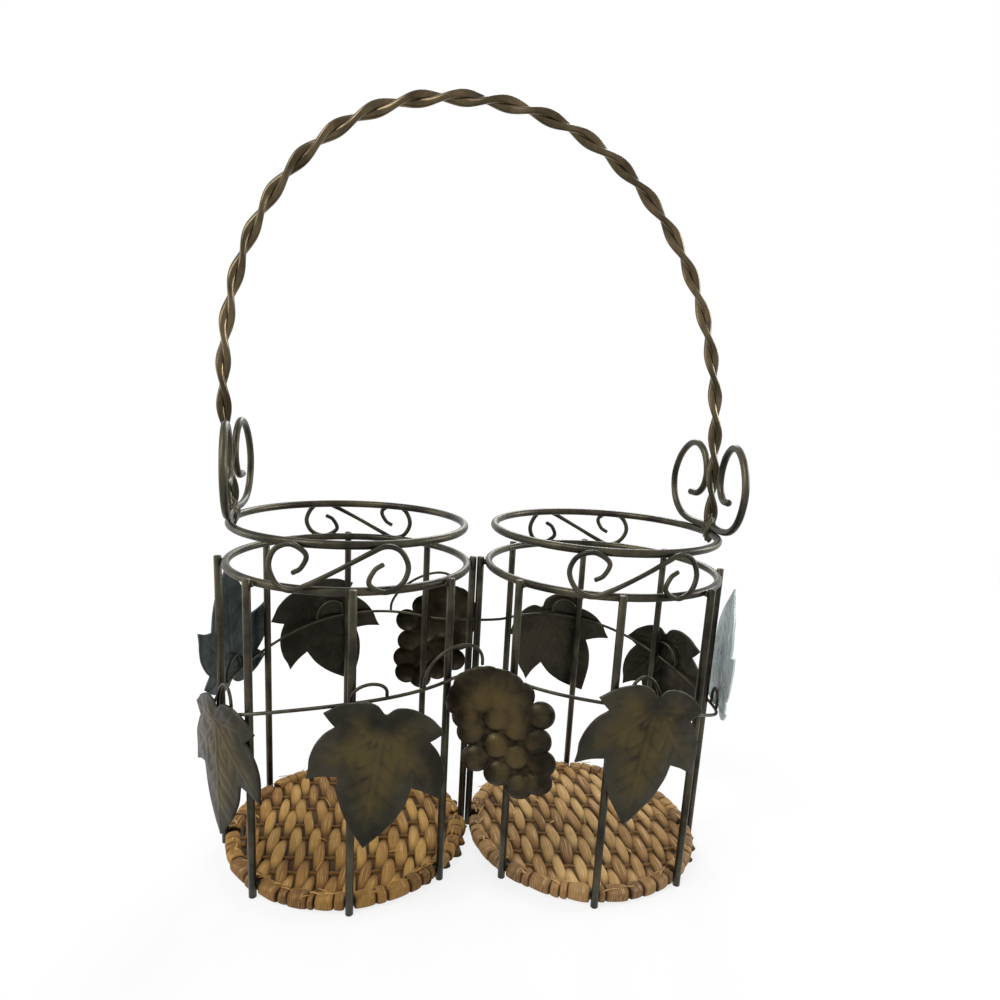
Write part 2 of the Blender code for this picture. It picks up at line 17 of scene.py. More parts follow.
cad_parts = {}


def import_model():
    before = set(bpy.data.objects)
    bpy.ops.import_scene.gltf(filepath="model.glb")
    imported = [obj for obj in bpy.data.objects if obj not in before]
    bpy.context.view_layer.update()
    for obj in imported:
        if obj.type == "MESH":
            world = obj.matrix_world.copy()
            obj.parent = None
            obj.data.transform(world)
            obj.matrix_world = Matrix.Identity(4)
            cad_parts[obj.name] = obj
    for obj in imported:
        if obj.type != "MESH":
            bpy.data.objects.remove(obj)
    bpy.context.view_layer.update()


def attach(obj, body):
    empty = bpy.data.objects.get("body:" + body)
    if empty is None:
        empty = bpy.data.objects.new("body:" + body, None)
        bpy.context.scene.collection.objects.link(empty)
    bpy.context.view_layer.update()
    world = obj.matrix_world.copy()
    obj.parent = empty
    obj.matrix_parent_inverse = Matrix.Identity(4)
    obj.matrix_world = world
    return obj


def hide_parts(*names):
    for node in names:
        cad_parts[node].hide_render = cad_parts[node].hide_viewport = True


LOG = logging.getLogger("carrier")
TAU = math.tau
Colour = tuple[float, float, float]
Shares = tuple[tuple[float, float], ...]
BACKDROP_RAYS = ("Is Camera Ray", "Is Glossy Ray", "Is Transmission Ray")


class Side(Enum):
    """The two cages, by the sign of their X."""

    LEFT = -1
    RIGHT = 1

    @property
    def word(self) -> str:
        """The side's word in node names."""
        return self.name.lower()


# Building blocks for Geometry Nodes trees and shaders


def linked(name: str, data: Any) -> bpy.types.Object:
    """A new object in the scene's collection."""
    made = bpy.data.objects.new(name, data)
    bpy.context.collection.objects.link(made)
    return made


class Recipe:
    """A Geometry Nodes tree with named sizes, which ends in Realize Instances and Set Material."""

    def __init__(self, name: str) -> None:
        """Start an empty tree.

        Args:
            name: The tree's name.
        """
        self.tree = bpy.data.node_groups.new(name, "GeometryNodeTree")
        face = self.tree.interface
        face.new_socket("Geometry", in_out="INPUT", socket_type="NodeSocketGeometry")
        face.new_socket("Geometry", in_out="OUTPUT", socket_type="NodeSocketGeometry")
        self.entry = self.tree.nodes.new("NodeGroupInput")
        self.exit = self.tree.nodes.new("NodeGroupOutput")
        self.keys: dict[str, str] = {}

    @property
    def given(self) -> Any:
        """The geometry that the object brings."""
        return self.entry.outputs["Geometry"]

    def size(self, name: str, kind: str = "NodeSocketFloat") -> Any:
        """Add a named input.

        Args:
            name: The input's name.
            kind: The input's socket type.

        Returns:
            The socket that carries its value.
        """
        item = self.tree.interface.new_socket(name, in_out="INPUT", socket_type=kind)
        self.keys[name] = item.identifier
        return self.entry.outputs[name]

    def add(self, kind: str, settings: dict[str, Any] | None = None, out: str | int = 0,
            **values: Any) -> Any:
        """Add a node and return one of its outputs.

        Args:
            kind: The node's type, without its GeometryNode prefix where it has one.
            settings: Properties that are set before the sockets.
            out: The output to return.
            **values: Links or values by socket name, with underscores for spaces, or s0, s1 by number.

        Returns:
            The chosen output socket.
        """
        prefix = "" if kind.startswith(("ShaderNode", "FunctionNode")) else "GeometryNode"
        node = self.tree.nodes.new(prefix + kind)
        for key, value in (settings or {}).items():
            setattr(node, key, value)
        for key, value in values.items():
            if key[0] == "s" and key[1:].isdigit():
                socket = node.inputs[int(key[1:])]
            else:
                title = key.replace("_", " ")
                socket = next(item for item in node.inputs if item.name == title and item.enabled)
            if isinstance(value, bpy.types.NodeSocket):
                self.tree.links.new(value, socket)
            else:
                socket.default_value = value
        return node.outputs[out]

    def maths(self, operation: str, *values: Any) -> Any:
        """One Math node on the given numbers or sockets."""
        named = {f"s{index}": value for index, value in enumerate(values)}
        return self.add("ShaderNodeMath", {"operation": operation}, **named)

    def finish(self, geometry: Any, material: bpy.types.Material) -> None:
        """Close the tree.

        Args:
            geometry: The geometry to hand out, made real and smooth.
            material: What every face of it wears.
        """
        real = self.add("RealizeInstances", s0=geometry)
        shaded = self.add("SetShadeSmooth", Geometry=real, Shade_Smooth=True)
        worn = self.add("SetMaterial", Geometry=shaded, Material=material)
        self.tree.links.new(worn, self.exit.inputs[0])

    def make(self, name: str, start: bpy.types.Mesh, sizes: dict[str, Any]) -> bpy.types.Object:
        """Run the tree on a mesh and keep the result as a plain mesh object.

        Args:
            name: The new piece's name.
            start: The mesh that the tree starts from.
            sizes: The inputs' values by name.

        Returns:
            The new object, at the origin, with no modifier.
        """
        carrier = linked(name + ".start", start)
        change = carrier.modifiers.new("recipe", "NODES")
        change.node_group = self.tree
        for key, value in sizes.items():
            change[self.keys[key]] = value
        graph = bpy.context.evaluated_depsgraph_get()
        mesh = bpy.data.meshes.new_from_object(carrier.evaluated_get(graph), depsgraph=graph)
        bpy.data.objects.remove(carrier, do_unlink=True)
        mesh.name = name
        return linked(name, mesh)


class Value:
    """A shader socket that adds Math nodes when it is used in a sum."""

    def __init__(self, shading: "Shading", socket: Any) -> None:
        """Wrap a socket.

        Args:
            shading: The material builder that owns the socket.
            socket: The output to wrap.
        """
        self.shading = shading
        self.socket = socket

    def _do(self, operation: str, *others: Any) -> "Value":
        """One Math node on this socket and others."""
        return self.shading.node("ShaderNodeMath", {"operation": operation}, dict(enumerate((self, *others))))

    def __add__(self, other: Any) -> "Value":
        """Sum."""
        return self._do("ADD", other)

    __radd__ = __add__

    def __mul__(self, other: Any) -> "Value":
        """Product."""
        return self._do("MULTIPLY", other)

    __rmul__ = __mul__

    def __sub__(self, other: Any) -> "Value":
        """Difference."""
        return self._do("SUBTRACT", other)

    def __rsub__(self, other: Any) -> "Value":
        """Difference from a number."""
        return self * -1.0 + other

    def bounded(self) -> "Value":
        """The value held between 0 and 1."""
        return self._do("MINIMUM", 1.0)._do("MAXIMUM", 0.0)

    def step(self, low: float, high: float) -> "Value":
        """A smooth step from 0 at low to 1 at high."""
        sockets = {"Value": self, "From Min": low, "From Max": high}
        return self.shading.node("ShaderNodeMapRange", {"interpolation_type": "SMOOTHSTEP"}, sockets)


class Shading:
    """Builds one material on a Principled surface."""

    def __init__(self, name: str) -> None:
        """Start a material.

        Args:
            name: The material's name.
        """
        self.material = bpy.data.materials.new(name)
        self.material.use_nodes = True
        self.tree = self.material.node_tree
        self.surface = self.tree.nodes["Principled BSDF"]

    def node(self, kind: str, settings: dict[str, Any] | None = None, sockets: dict[Any, Any] | None = None,
             out: str | int = 0) -> Value:
        """Add a node.

        Args:
            kind: The node's type.
            settings: Properties that are set first; a ramp's stops come as position and colour pairs.
            sockets: Links or values by socket name or number.
            out: The output to return.

        Returns:
            The chosen output.
        """
        made = self.tree.nodes.new(kind)
        for key, value in (settings or {}).items():
            if key == "stops":
                ramp = made.color_ramp
                while len(ramp.elements) < len(value):
                    ramp.elements.new(0.5)
                for element, (place, colour) in zip(ramp.elements, value):
                    element.position = place
                    element.color = (*colour, 1.0)
            else:
                setattr(made, key, value)
        for key, value in (sockets or {}).items():
            self.feed(made.inputs[key], value)
        return Value(self, made.outputs[out])

    def feed(self, socket: Any, value: Any) -> None:
        """Link or set one input.

        Args:
            socket: The input.
            value: A wrapped socket, a number or a colour.
        """
        if isinstance(value, Value):
            self.tree.links.new(value.socket, socket)
        elif isinstance(value, tuple) and len(value) == 3 and len(socket.default_value) == 4:
            socket.default_value = (*value, 1.0)
        else:
            socket.default_value = value

    def set(self, **values: Any) -> None:
        """Feed the surface's own sockets, named with underscores for spaces."""
        for key, value in values.items():
            self.feed(self.surface.inputs[key.replace("_", " ")], value)

    def place(self) -> Value:
        """Object coordinates."""
        return self.node("ShaderNodeTexCoord", out="Object")

    def attribute(self, name: str) -> Value:
        """One number that a mesh carries."""
        return self.node("ShaderNodeAttribute", {"attribute_name": name}, out="Fac")

    def stretched(self, vector: Value, scale: tuple[float, float, float]) -> Value:
        """A vector with its axes scaled."""
        return self.node("ShaderNodeMapping", None, {"Vector": vector, "Scale": scale})

    def noise(self, vector: Value, scale: float, detail: float = 4.0, roughness: float = 0.55) -> Value:
        """Noise between 0 and 1."""
        sockets = {"Vector": vector, "Scale": scale, "Detail": detail, "Roughness": roughness}
        return self.node("ShaderNodeTexNoise", None, sockets, "Fac")

    def blend(self, factor: Any, first: Any, second: Any) -> Value:
        """Mix two colours, whose sockets are the Mix node's 6 and 7."""
        return self.node("ShaderNodeMix", {"data_type": "RGBA"}, {0: factor, 6: first, 7: second}, 2)

    def bump(self, height: Value, strength: float, distance: float, under: Value | None = None) -> Value:
        """A Bump node, which may stand on another."""
        sockets: dict[str, Any] = {"Height": height, "Strength": strength, "Distance": distance}
        if under is not None:
            sockets["Normal"] = under
        return self.node("ShaderNodeBump", None, sockets)


# Finishes


@dataclass(frozen=True)
class BronzePaint:
    """Dark olive bronze paint, rubbed brown, on wire or stamped sheet."""

    name: str
    dark: Colour
    olive: Colour
    rubbed: Colour
    patch_scale: float
    rubbed_share: float
    roughness: float
    metallic: float
    peel: float = 0.18
    peel_scale: float = 2600.0
    peel_depth: float = 0.00025
    brush_stretch: tuple[float, float, float] = (1.0, 1.0, 0.22)
    groove_share: float = 0.75
    speck_share: float = 0.35
    specular: float = 0.2
    stamped: bool = False
    # A pale colour painted on the back of the sheet as a reflection, where there is one.
    back: Colour | None = None
    low: Colour | None = None
    low_heights: tuple[float, float] = (0.172, 0.218)

    def build(self) -> bpy.types.Material:
        """Make the material.

        Returns:
            A Principled material with patches of tone, brush marks and a fine orange-peel surface. On
            stamped sheet the middle is rubbed warm and the edges stay dark; painted shade darkens the
            grooves, and the back may be lifted to a pale painted reflection. The finish may also turn to
            another colour low down.
        """
        made = Shading(self.name)
        place = made.place()
        patches = made.noise(place, self.patch_scale, 5.0, 0.6)
        fine = made.noise(place, self.patch_scale * 9.0, 3.0, 0.6)
        brushed = made.noise(made.stretched(place, self.brush_stretch), self.patch_scale * 5.0, 4.0, 0.65)
        base = made.blend(patches.step(0.32, 0.68), self.dark, self.olive)
        worn = (brushed * 0.6 + patches * 0.4).step(0.66 - self.rubbed_share, 0.74) * self.rubbed_share * 1.6
        if self.stamped:
            relief, edge = made.attribute("relief"), made.attribute("edge")
            warm = (edge * 0.70 + patches * 0.9 - 0.42).step(0.15, 0.75)
            worn = warm * (relief * 0.75 + brushed * 0.5).step(0.18, 0.85)
        colour = made.blend(worn.bounded(), base, self.rubbed)
        if self.stamped:
            # Painted shade: the low grooves of the pressed relief are darkened towards the dark colour.
            groove = (1.0 - relief).step(0.62, 1.0) * edge.step(0.15, 0.5)
            colour = made.blend(groove * self.groove_share, colour, self.dark)
        # Painted reflection: the back of the sheet is lifted to a pale grey in patches.
        if self.back:
            painted_back_reflection = (1.0 - edge.step(0.0, 0.04)) * (0.55 + patches * 0.9).bounded()
            colour = made.blend(painted_back_reflection, colour, self.back)
        if self.low:
            height = made.node("ShaderNodeSeparateXYZ", None, {0: place}, "Z")
            above = (height + patches * 0.02 - 0.01).step(*self.low_heights)
            colour = made.blend(above, made.blend(patches.step(0.30, 0.75), self.dark, self.low), colour)
        specked = made.blend(fine.step(0.60, 0.78) * self.speck_share, colour, self.dark)
        made.set(Base_Color=specked, Metallic=self.metallic, Specular_IOR_Level=self.specular)
        made.set(Roughness=(fine * 0.22 + patches * 0.16 + (self.roughness - 0.19)).bounded())
        rough = made.bump(made.noise(place, self.peel_scale, 2.0), self.peel, self.peel_depth)
        made.set(Normal=made.bump(fine, self.peel * 1.2, self.peel_depth * 2, rough))
        return made.material


@dataclass(frozen=True)
class DriedGrass:
    """Dried tan grass: fibres along each strand, every strand its own tone, with painted shade in the
    crossings and painted highlight streaks on the crests.
    """

    name: str
    straw: Colour
    pale: Colour
    tan: Colour
    brown: Colour
    shadow: Colour = (0.018, 0.008, 0.003)
    fibre_scale: tuple[float, float, float] = (90.0, 14.0, 1.0)
    silk_scale: tuple[float, float, float] = (46.0, 5.0, 1.0)
    stain_scale: float = 190.0
    streak_share: float = 0.48
    silk_share: float = 0.60
    shadow_share: float = 0.92
    ridge_depth: float = 0.0006
    stain_depth: float = 0.0005

    def build(self) -> bpy.types.Material:
        """Make the material.

        Returns:
            A Principled material that reads the strands' UV map and their tone and painted light attributes.
        """
        made = Shading(self.name)
        uv = made.node("ShaderNodeUVMap", {"uv_map": "along"})
        fibres = made.noise(made.stretched(uv, self.fibre_scale), 1.0, 5.0, 0.7)
        painted_highlight_streaks = made.noise(made.stretched(uv, self.silk_scale), 1.0, 3.0, 0.6)
        stains = made.noise(made.place(), self.stain_scale, 3.0, 0.6)
        tone, crest = made.attribute("tone"), made.attribute("crest")
        stops = [(0.0, self.brown), (0.45, self.tan), (1.0, self.pale)]
        mood = (tone * 0.72 + fibres * 0.5 + stains * 0.35 - 0.30).bounded()
        colour = made.node("ShaderNodeValToRGB", {"stops": stops}, {0: mood})
        colour = made.blend(fibres.step(0.50, 0.68) * self.streak_share, colour, self.brown)
        # Painted highlight: pale streaks are laid on the lit crests of the strands, blended towards a pale
        # straw colour.
        painted_sheen = painted_highlight_streaks.step(0.50, 0.66) * crest.step(0.55, 0.95) * self.silk_share
        colour = made.blend(painted_sheen, colour, self.straw)
        # Painted shade: where the painted light is low, in the crossings and under the strands, the colour
        # goes to the shadow colour.
        colour = made.blend((1.0 - crest).step(0.20, 1.0) * self.shadow_share, colour, self.shadow)
        made.set(Base_Color=colour, Roughness=(0.78 - fibres * 0.25), Specular_IOR_Level=0.25)
        ridges = made.bump(fibres, 0.75, self.ridge_depth)
        made.set(Normal=made.bump(stains, 0.20, self.stain_depth, ridges))
        return made.material


@dataclass(frozen=True)
class PaleFloor:
    """A near-white floor that keeps a soft shadow."""

    name: str = "pale_floor"
    shade: float = 0.9
    white_share: float = 0.80
    fade: tuple[float, float] = (0.22, 1.1)

    def build(self) -> bpy.types.Material:
        """Make the material.

        Returns:
            A matt floor, lifted towards white for the camera and in reflections, and all white far away.
        """
        made = Shading(self.name)
        made.set(Base_Color=(self.shade,) * 3, Roughness=0.9, Specular_IOR_Level=0.1)
        path = made.tree.nodes.new("ShaderNodeLightPath")
        direct, mirrored, passed = (Value(made, path.outputs[ray]) for ray in BACKDROP_RAYS)
        seen = (direct + mirrored + passed).bounded()
        glow = made.node("ShaderNodeEmission", None, {"Color": (1.0, 1.0, 1.0), "Strength": 1.0})
        far = made.node("ShaderNodeVectorMath", {"operation": "LENGTH"}, {0: made.place()}, "Value")
        white = far.step(*self.fade) * (1.0 - self.white_share) + self.white_share
        sockets = {0: seen * white, 1: Value(made, made.surface.outputs[0]), 2: glow}
        mixed = made.node("ShaderNodeMixShader", None, sockets)
        made.tree.links.new(mixed.socket, made.tree.nodes["Material Output"].inputs["Surface"])
        return made.material


# Wire and sheet forms

END_DOME: Shares = ((0.30, 0.80), (0.46, 0.45))
STEPS_BETWEEN = 24


def frames_along(path: Sequence[Vector], closed: bool) -> list[tuple[Vector, Vector]]:
    """Steady frames along a path.

    Args:
        path: The path's points.
        closed: Whether its end meets its start.

    Returns:
        For each point, two directions across the path.
    """
    count = len(path)
    frames: list[tuple[Vector, Vector]] = []
    across = Vector((0, 0, 1))
    for index in range(count):
        before = path[index - 1] if index or closed else path[0]
        after = path[(index + 1) % count] if index < count - 1 or closed else path[-1]
        along = (after - before).normalized()
        if not frames and abs(along.z) > 0.9:
            across = Vector((1, 0, 0))
        across = (across - along * across.dot(along)).normalized()
        frames.append((across, along.cross(across)))
    return frames


def to_mesh(name: str, bm: bmesh.types.BMesh) -> bpy.types.Mesh:
    """Turn a bmesh into a mesh.

    Args:
        name: The mesh's name.
        bm: The bmesh, which is freed.

    Returns:
        The new mesh.
    """
    mesh = bpy.data.meshes.new(name)
    bm.to_mesh(mesh)
    bm.free()
    return mesh


def settle(name: str, bm: bmesh.types.BMesh, material: bpy.types.Material) -> bpy.types.Object:
    """Turn a bmesh into a smooth object with outward faces.

    Args:
        name: The piece's name.
        bm: The mesh, which is freed.
        material: What it wears.

    Returns:
        The new object.
    """
    bmesh.ops.recalc_face_normals(bm, faces=bm.faces)
    mesh = to_mesh(name, bm)
    mesh.shade_smooth()
    mesh.materials.append(material)
    return linked(name, mesh)


def join_rings(bm: bmesh.types.BMesh, rings: list[list[bmesh.types.BMVert]], closed: bool = False,
               uv_at: Callable[[int, int], tuple[float, float]] | None = None) -> None:
    """Join rings of corners into a skin.

    Args:
        bm: The mesh that holds them.
        rings: The rings, each with as many corners.
        closed: Whether the last ring meets the first one; otherwise both ends are closed.
        uv_at: The place on the map called along, by number round and number along, where there is one.
    """
    layer = bm.loops.layers.uv["along"] if uv_at else None
    for row, (ring, following) in enumerate(zip(rings, rings[1:] + (rings[:1] if closed else []))):
        for index in range(len(ring)):
            after = (index + 1) % len(ring)
            face = bm.faces.new((ring[index], ring[after], following[after], following[index]))
            if uv_at:
                spots = ((index, row), (index + 1, row), (index + 1, row + 1), (index, row + 1))
                for corner, spot in zip(face.loops, spots):
                    corner[layer].uv = uv_at(*spot)
    if not closed:
        bm.faces.new(reversed(rings[0]))
        bm.faces.new(rings[-1])


def even_turns(count: int) -> list[float]:
    """Even angles once round, in radians."""
    return [TAU * index / count for index in range(count)]


def sweep(name: str, path: Sequence[Vector], radius: float | Callable[[float], float], sides: int,
          material: bpy.types.Material, closed: bool = False) -> bpy.types.Object:
    """A round wire along a path, with domed ends.

    Args:
        name: The piece's name.
        path: The wire's centre line.
        radius: The wire's radius, or a function of the share of the way along.
        sides: How many faces go round.
        material: What it wears.
        closed: Whether it is a loop.

    Returns:
        The new object.
    """
    thick = radius if callable(radius) else (lambda share: radius)
    spots = list(path)
    sizes = [thick(index / (len(spots) - 1)) for index in range(len(spots))]
    if not closed:
        for end, inner in ((0, 1), (-1, -2)):
            out = (spots[end] - spots[inner]).normalized()
            tip, size = spots[end], sizes[end]
            for reach, width in END_DOME:
                place = 0 if end == 0 else len(spots)
                spots.insert(place, tip + out * size * reach)
                sizes.insert(place, size * width)
    bm = bmesh.new()
    rings = []
    for spot, (one, two), size in zip(spots, frames_along(spots, closed), sizes):
        rings.append([bm.verts.new(spot + (one * math.cos(turn) + two * math.sin(turn)) * size)
                      for turn in even_turns(sides)])
    join_rings(bm, rings, closed)
    return settle(name, bm, material)


def resample(path: Sequence[Vector], count: int) -> list[Vector]:
    """Points at even distances along a polyline.

    Args:
        path: The polyline.
        count: How many steps it is cut into.

    Returns:
        One more point than steps.
    """
    lengths = [0.0]
    for start, stop in zip(path, path[1:]):
        lengths.append(lengths[-1] + (stop - start).length)
    even = []
    piece = 0
    for step in range(count + 1):
        wanted = lengths[-1] * step / count
        while piece < len(path) - 2 and lengths[piece + 1] < wanted:
            piece += 1
        share = (wanted - lengths[piece]) / (lengths[piece + 1] - lengths[piece])
        even.append(path[piece].lerp(path[piece + 1], share))
    return even


def smooth_path(corners: Sequence[Vector], count: int) -> list[Vector]:
    """An even path through the corners of a Catmull-Rom curve.

    Args:
        corners: The curve's corners.
        count: How many steps the path has.

    Returns:
        The path's points.
    """
    ends = [corners[0] * 2 - corners[1], *corners, corners[-1] * 2 - corners[-2]]
    fine = []
    for before, start, stop, after in zip(ends, ends[1:], ends[2:], ends[3:]):
        for step in range(STEPS_BETWEEN):
            t = step / STEPS_BETWEEN
            fine.append(start + (stop - before) * (t / 2)
                        + (before * 2 - start * 5 + stop * 4 - after) * (t ** 2 / 2)
                        + (start * 3 - before - stop * 3 + after) * (t ** 3 / 2))
    fine.append(corners[-1])
    return resample(fine, count)


def wear(piece: bpy.types.Object, slot: str, *nodes: str) -> None:
    """Hand a finished piece to the frame.

    Args:
        piece: The piece.
        slot: The record's material slot; it is not used.
        *nodes: The CAD nodes that it stands for.
    """
    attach(piece, "root")
    if nodes:
        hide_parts(*nodes)
    LOG.info("%s: %d faces", piece.name, len(piece.data.polygons))


@dataclass
class Cage:
    """One round wire cage: rings, bars, weld beads and scrolls."""

    side: Side
    paint: bpy.types.Material
    radius: float = 0.054
    top_radius: float = 0.052
    wire: float = 0.0035
    bar_wire: float = 0.0034
    bars: int = 8
    bar_turn: float = 6.0
    weld: float = 0.0003
    neck_height: float = 0.141
    top_height: float = 0.159
    base_height: float = 0.00345
    roll_width: float = 0.0080
    ring_steps: int = 160
    ring_sides: int = 18
    bar_sides: int = 20
    bar_end: Shares = ((0.86, 0.0), (1.0, 0.14))
    bead_shape: tuple[float, float, float] = (0.75, 1.25, 0.85)
    neck_bead: float = 0.00155
    neck_bead_drop: float = 0.0006
    foot_bead: float = 0.00135
    bead_lump: float = 0.10
    bead_rough: float = 0.02
    bead_seed: int = 7
    scroll_wire: float = 0.0022
    scroll_steps: int = 150
    scroll_sides: int = 16
    scroll_draw: float = 0.12
    scroll_half_width: float = 0.0280
    scroll_shares: Shares = (
        (0.00, 0.00), (0.42, 0.70), (0.66, 0.99), (0.88, 0.75), (1.00, 0.02),
        (0.90, -0.70), (0.65, -0.99), (0.43, -0.60), (0.50, -0.02), (0.62, 0.22))

    @property
    def bar_circle(self) -> float:
        """The circle that the bars' middles stand on."""
        return self.radius + self.wire / 2 + self.weld + self.bar_wire / 2

    @property
    def offset(self) -> float:
        """How far the cage's middle lies from the carrier's middle."""
        bars = self.bar_circle * math.cos(math.radians(self.bar_turn)) + self.bar_wire / 2
        rolls = self.radius + max(self.wire, self.roll_width) / 2
        return self.weld / 2 + max(bars, self.top_radius + self.wire / 2, rolls)

    @property
    def middle_x(self) -> float:
        """The X of the cage's middle."""
        return self.side.value * self.offset

    def spot(self, radius: float, angle: float, height: float) -> Vector:
        """A point at an angle in degrees round the cage."""
        turn = math.radians(angle)
        return Vector((self.middle_x + radius * math.cos(turn), radius * math.sin(turn), height))

    def bar_angle(self, bar: int) -> float:
        """A bar's angle; the cages are turned a little, mirrored about the middle."""
        angle = self.bar_turn + 360 / self.bars * bar
        return angle if self.side is Side.LEFT else 180 - angle

    def ring(self, title: str, radius: float, height: float) -> None:
        """A ring of round wire, bent by a tree that sweeps a section round a circle.

        Args:
            title: The ring's node name without its side.
            radius: Its centre line's radius.
            height: Its centre line's height.
        """
        name = f"{self.side.word}_{title}"
        recipe = Recipe(name)
        round_size, wire = recipe.size("Radius"), recipe.size("Wire radius")
        middle = recipe.size("Middle", "NodeSocketVector")
        line = recipe.add("CurvePrimitiveCircle", Resolution=self.ring_steps, Radius=round_size)
        section = recipe.add("CurvePrimitiveCircle", Resolution=self.ring_sides, Radius=wire)
        solid = recipe.add("CurveToMesh", Curve=line, Profile_Curve=section)
        recipe.finish(recipe.add("Transform", Geometry=solid, Translation=middle), self.paint)
        sizes = {"Radius": radius, "Wire radius": self.wire / 2, "Middle": self.spot(0, 0, height)}
        wear(recipe.make(name + "_wire", bpy.data.meshes.new(name), sizes), "bronzed_iron", name)

    def on_bars(self, name: str, pattern: bpy.types.Mesh, radius: float, height: float) -> bpy.types.Object:
        """Set a pattern at every bar with a tree that counts round the cage.

        Args:
            name: The piece's name.
            pattern: The mesh to repeat, drawn for a bar on +X.
            radius: The circle that it stands on.
            height: The height that it stands at.

        Returns:
            The new object.
        """
        recipe = Recipe(name)
        reach, count = recipe.size("Radius"), recipe.size("Count", "NodeSocketInt")
        start, middle = recipe.size("Start"), recipe.size("Middle", "NodeSocketVector")
        points = recipe.add("MeshCircle", Vertices=count, Radius=reach)
        step = recipe.maths("DIVIDE", TAU, count)
        turn = recipe.maths("MULTIPLY", recipe.add("InputIndex"), step)
        spin = recipe.add("ShaderNodeCombineXYZ", Z=turn)
        placed = recipe.add("InstanceOnPoints", Points=points, Instance=recipe.given, Rotation=spin)
        aim = recipe.add("ShaderNodeCombineXYZ", Z=start)
        moved = recipe.add("Transform", Geometry=placed, Translation=middle, Rotation=aim)
        recipe.finish(moved, self.paint)
        sizes = {"Radius": radius, "Count": self.bars, "Start": math.radians(self.bar_angle(0)),
                 "Middle": self.spot(0, 0, height)}
        return recipe.make(name, pattern, sizes)

    def bar_pattern(self) -> bpy.types.Mesh:
        """One upright bar with softly cut ends.

        Returns:
            A turned mesh that stands on the floor.
        """
        top = self.neck_height + self.wire / 2
        half = self.bar_wire / 2
        profile = [(half * wide, half * up) for wide, up in self.bar_end]
        profile += [(half, top * share) for share in (0.25, 0.5, 0.75)]
        profile += [(half * wide, top - half * up) for wide, up in reversed(self.bar_end)]
        bm = bmesh.new()
        join_rings(bm, [[bm.verts.new((reach * math.cos(turn), reach * math.sin(turn), height))
                         for turn in even_turns(self.bar_sides)] for reach, height in profile])
        return to_mesh("bar_pattern", bm)

    def bead_pattern(self, size: float) -> bpy.types.Mesh:
        """A small weld bead in the corner between a bar and a ring.

        Args:
            size: The bead's half width.

        Returns:
            A lumpy flattened ball.
        """
        bm = bmesh.new()
        bmesh.ops.create_icosphere(bm, subdivisions=3, radius=1.0)
        wobble = random.Random(self.bead_seed)
        for vert in bm.verts:
            lump = 1.0 + self.bead_lump * math.sin(vert.co.x * 5 + vert.co.y * 3)
            lump += wobble.uniform(-self.bead_rough, self.bead_rough)
            vert.co = vert.co * Vector(self.bead_shape) * (size * lump)
        return to_mesh("bead_pattern", bm)

    def scroll(self, title: str, facing: float) -> None:
        """An S-scroll with drawn-down ends, laid on the outside of both rings.

        Args:
            title: Front or back.
            facing: The angle that it faces.
        """
        half_height = (self.top_height - self.neck_height) / 2
        stand_off = self.wire / 2 + self.weld + self.scroll_wire / 2
        half = [Vector((across * self.scroll_half_width, up * half_height, 0))
                for across, up in self.scroll_shares]
        flat = [-spot for spot in reversed(half[1:])] + half
        path = []
        for spot in smooth_path(flat, self.scroll_steps):
            share = (spot.y / half_height + 1) / 2
            radius = stand_off + self.radius + (self.top_radius - self.radius) * share
            path.append(self.spot(radius, facing + math.degrees(spot.x / radius),
                                  self.neck_height + half_height + spot.y))

        def thick(share: float) -> float:
            """The wire's radius, drawn down at its middle and ends."""
            return self.scroll_wire / 2 * (1 - self.scroll_draw * math.cos(TAU * share) ** 8)

        name = f"{self.side.word}_scroll_{title}"
        wear(sweep(name + "_wire", path, thick, self.scroll_sides, self.paint), "bronzed_iron", name)

    def build(self) -> None:
        """Make the whole cage."""
        word = self.side.word
        self.ring("top_ring", self.top_radius, self.top_height)
        self.ring("neck_ring", self.radius, self.neck_height)
        self.ring("base_ring", self.radius, self.base_height)
        bars = self.on_bars(word + "_bars", self.bar_pattern(), self.bar_circle, 0.0)
        wear(bars, "bronzed_iron", *[f"{word}_bar_{bar + 1}" for bar in range(self.bars)])
        contact = self.radius + self.wire / 2
        for title, bead, height in (("neck", self.neck_bead, self.neck_height - self.neck_bead_drop),
                                    ("foot", self.foot_bead, self.base_height)):
            welds = self.on_bars(f"{word}_{title}_welds", self.bead_pattern(bead), contact, height)
            wear(welds, "bronzed_iron")
        self.scroll("front", -90)
        self.scroll("back", 90)


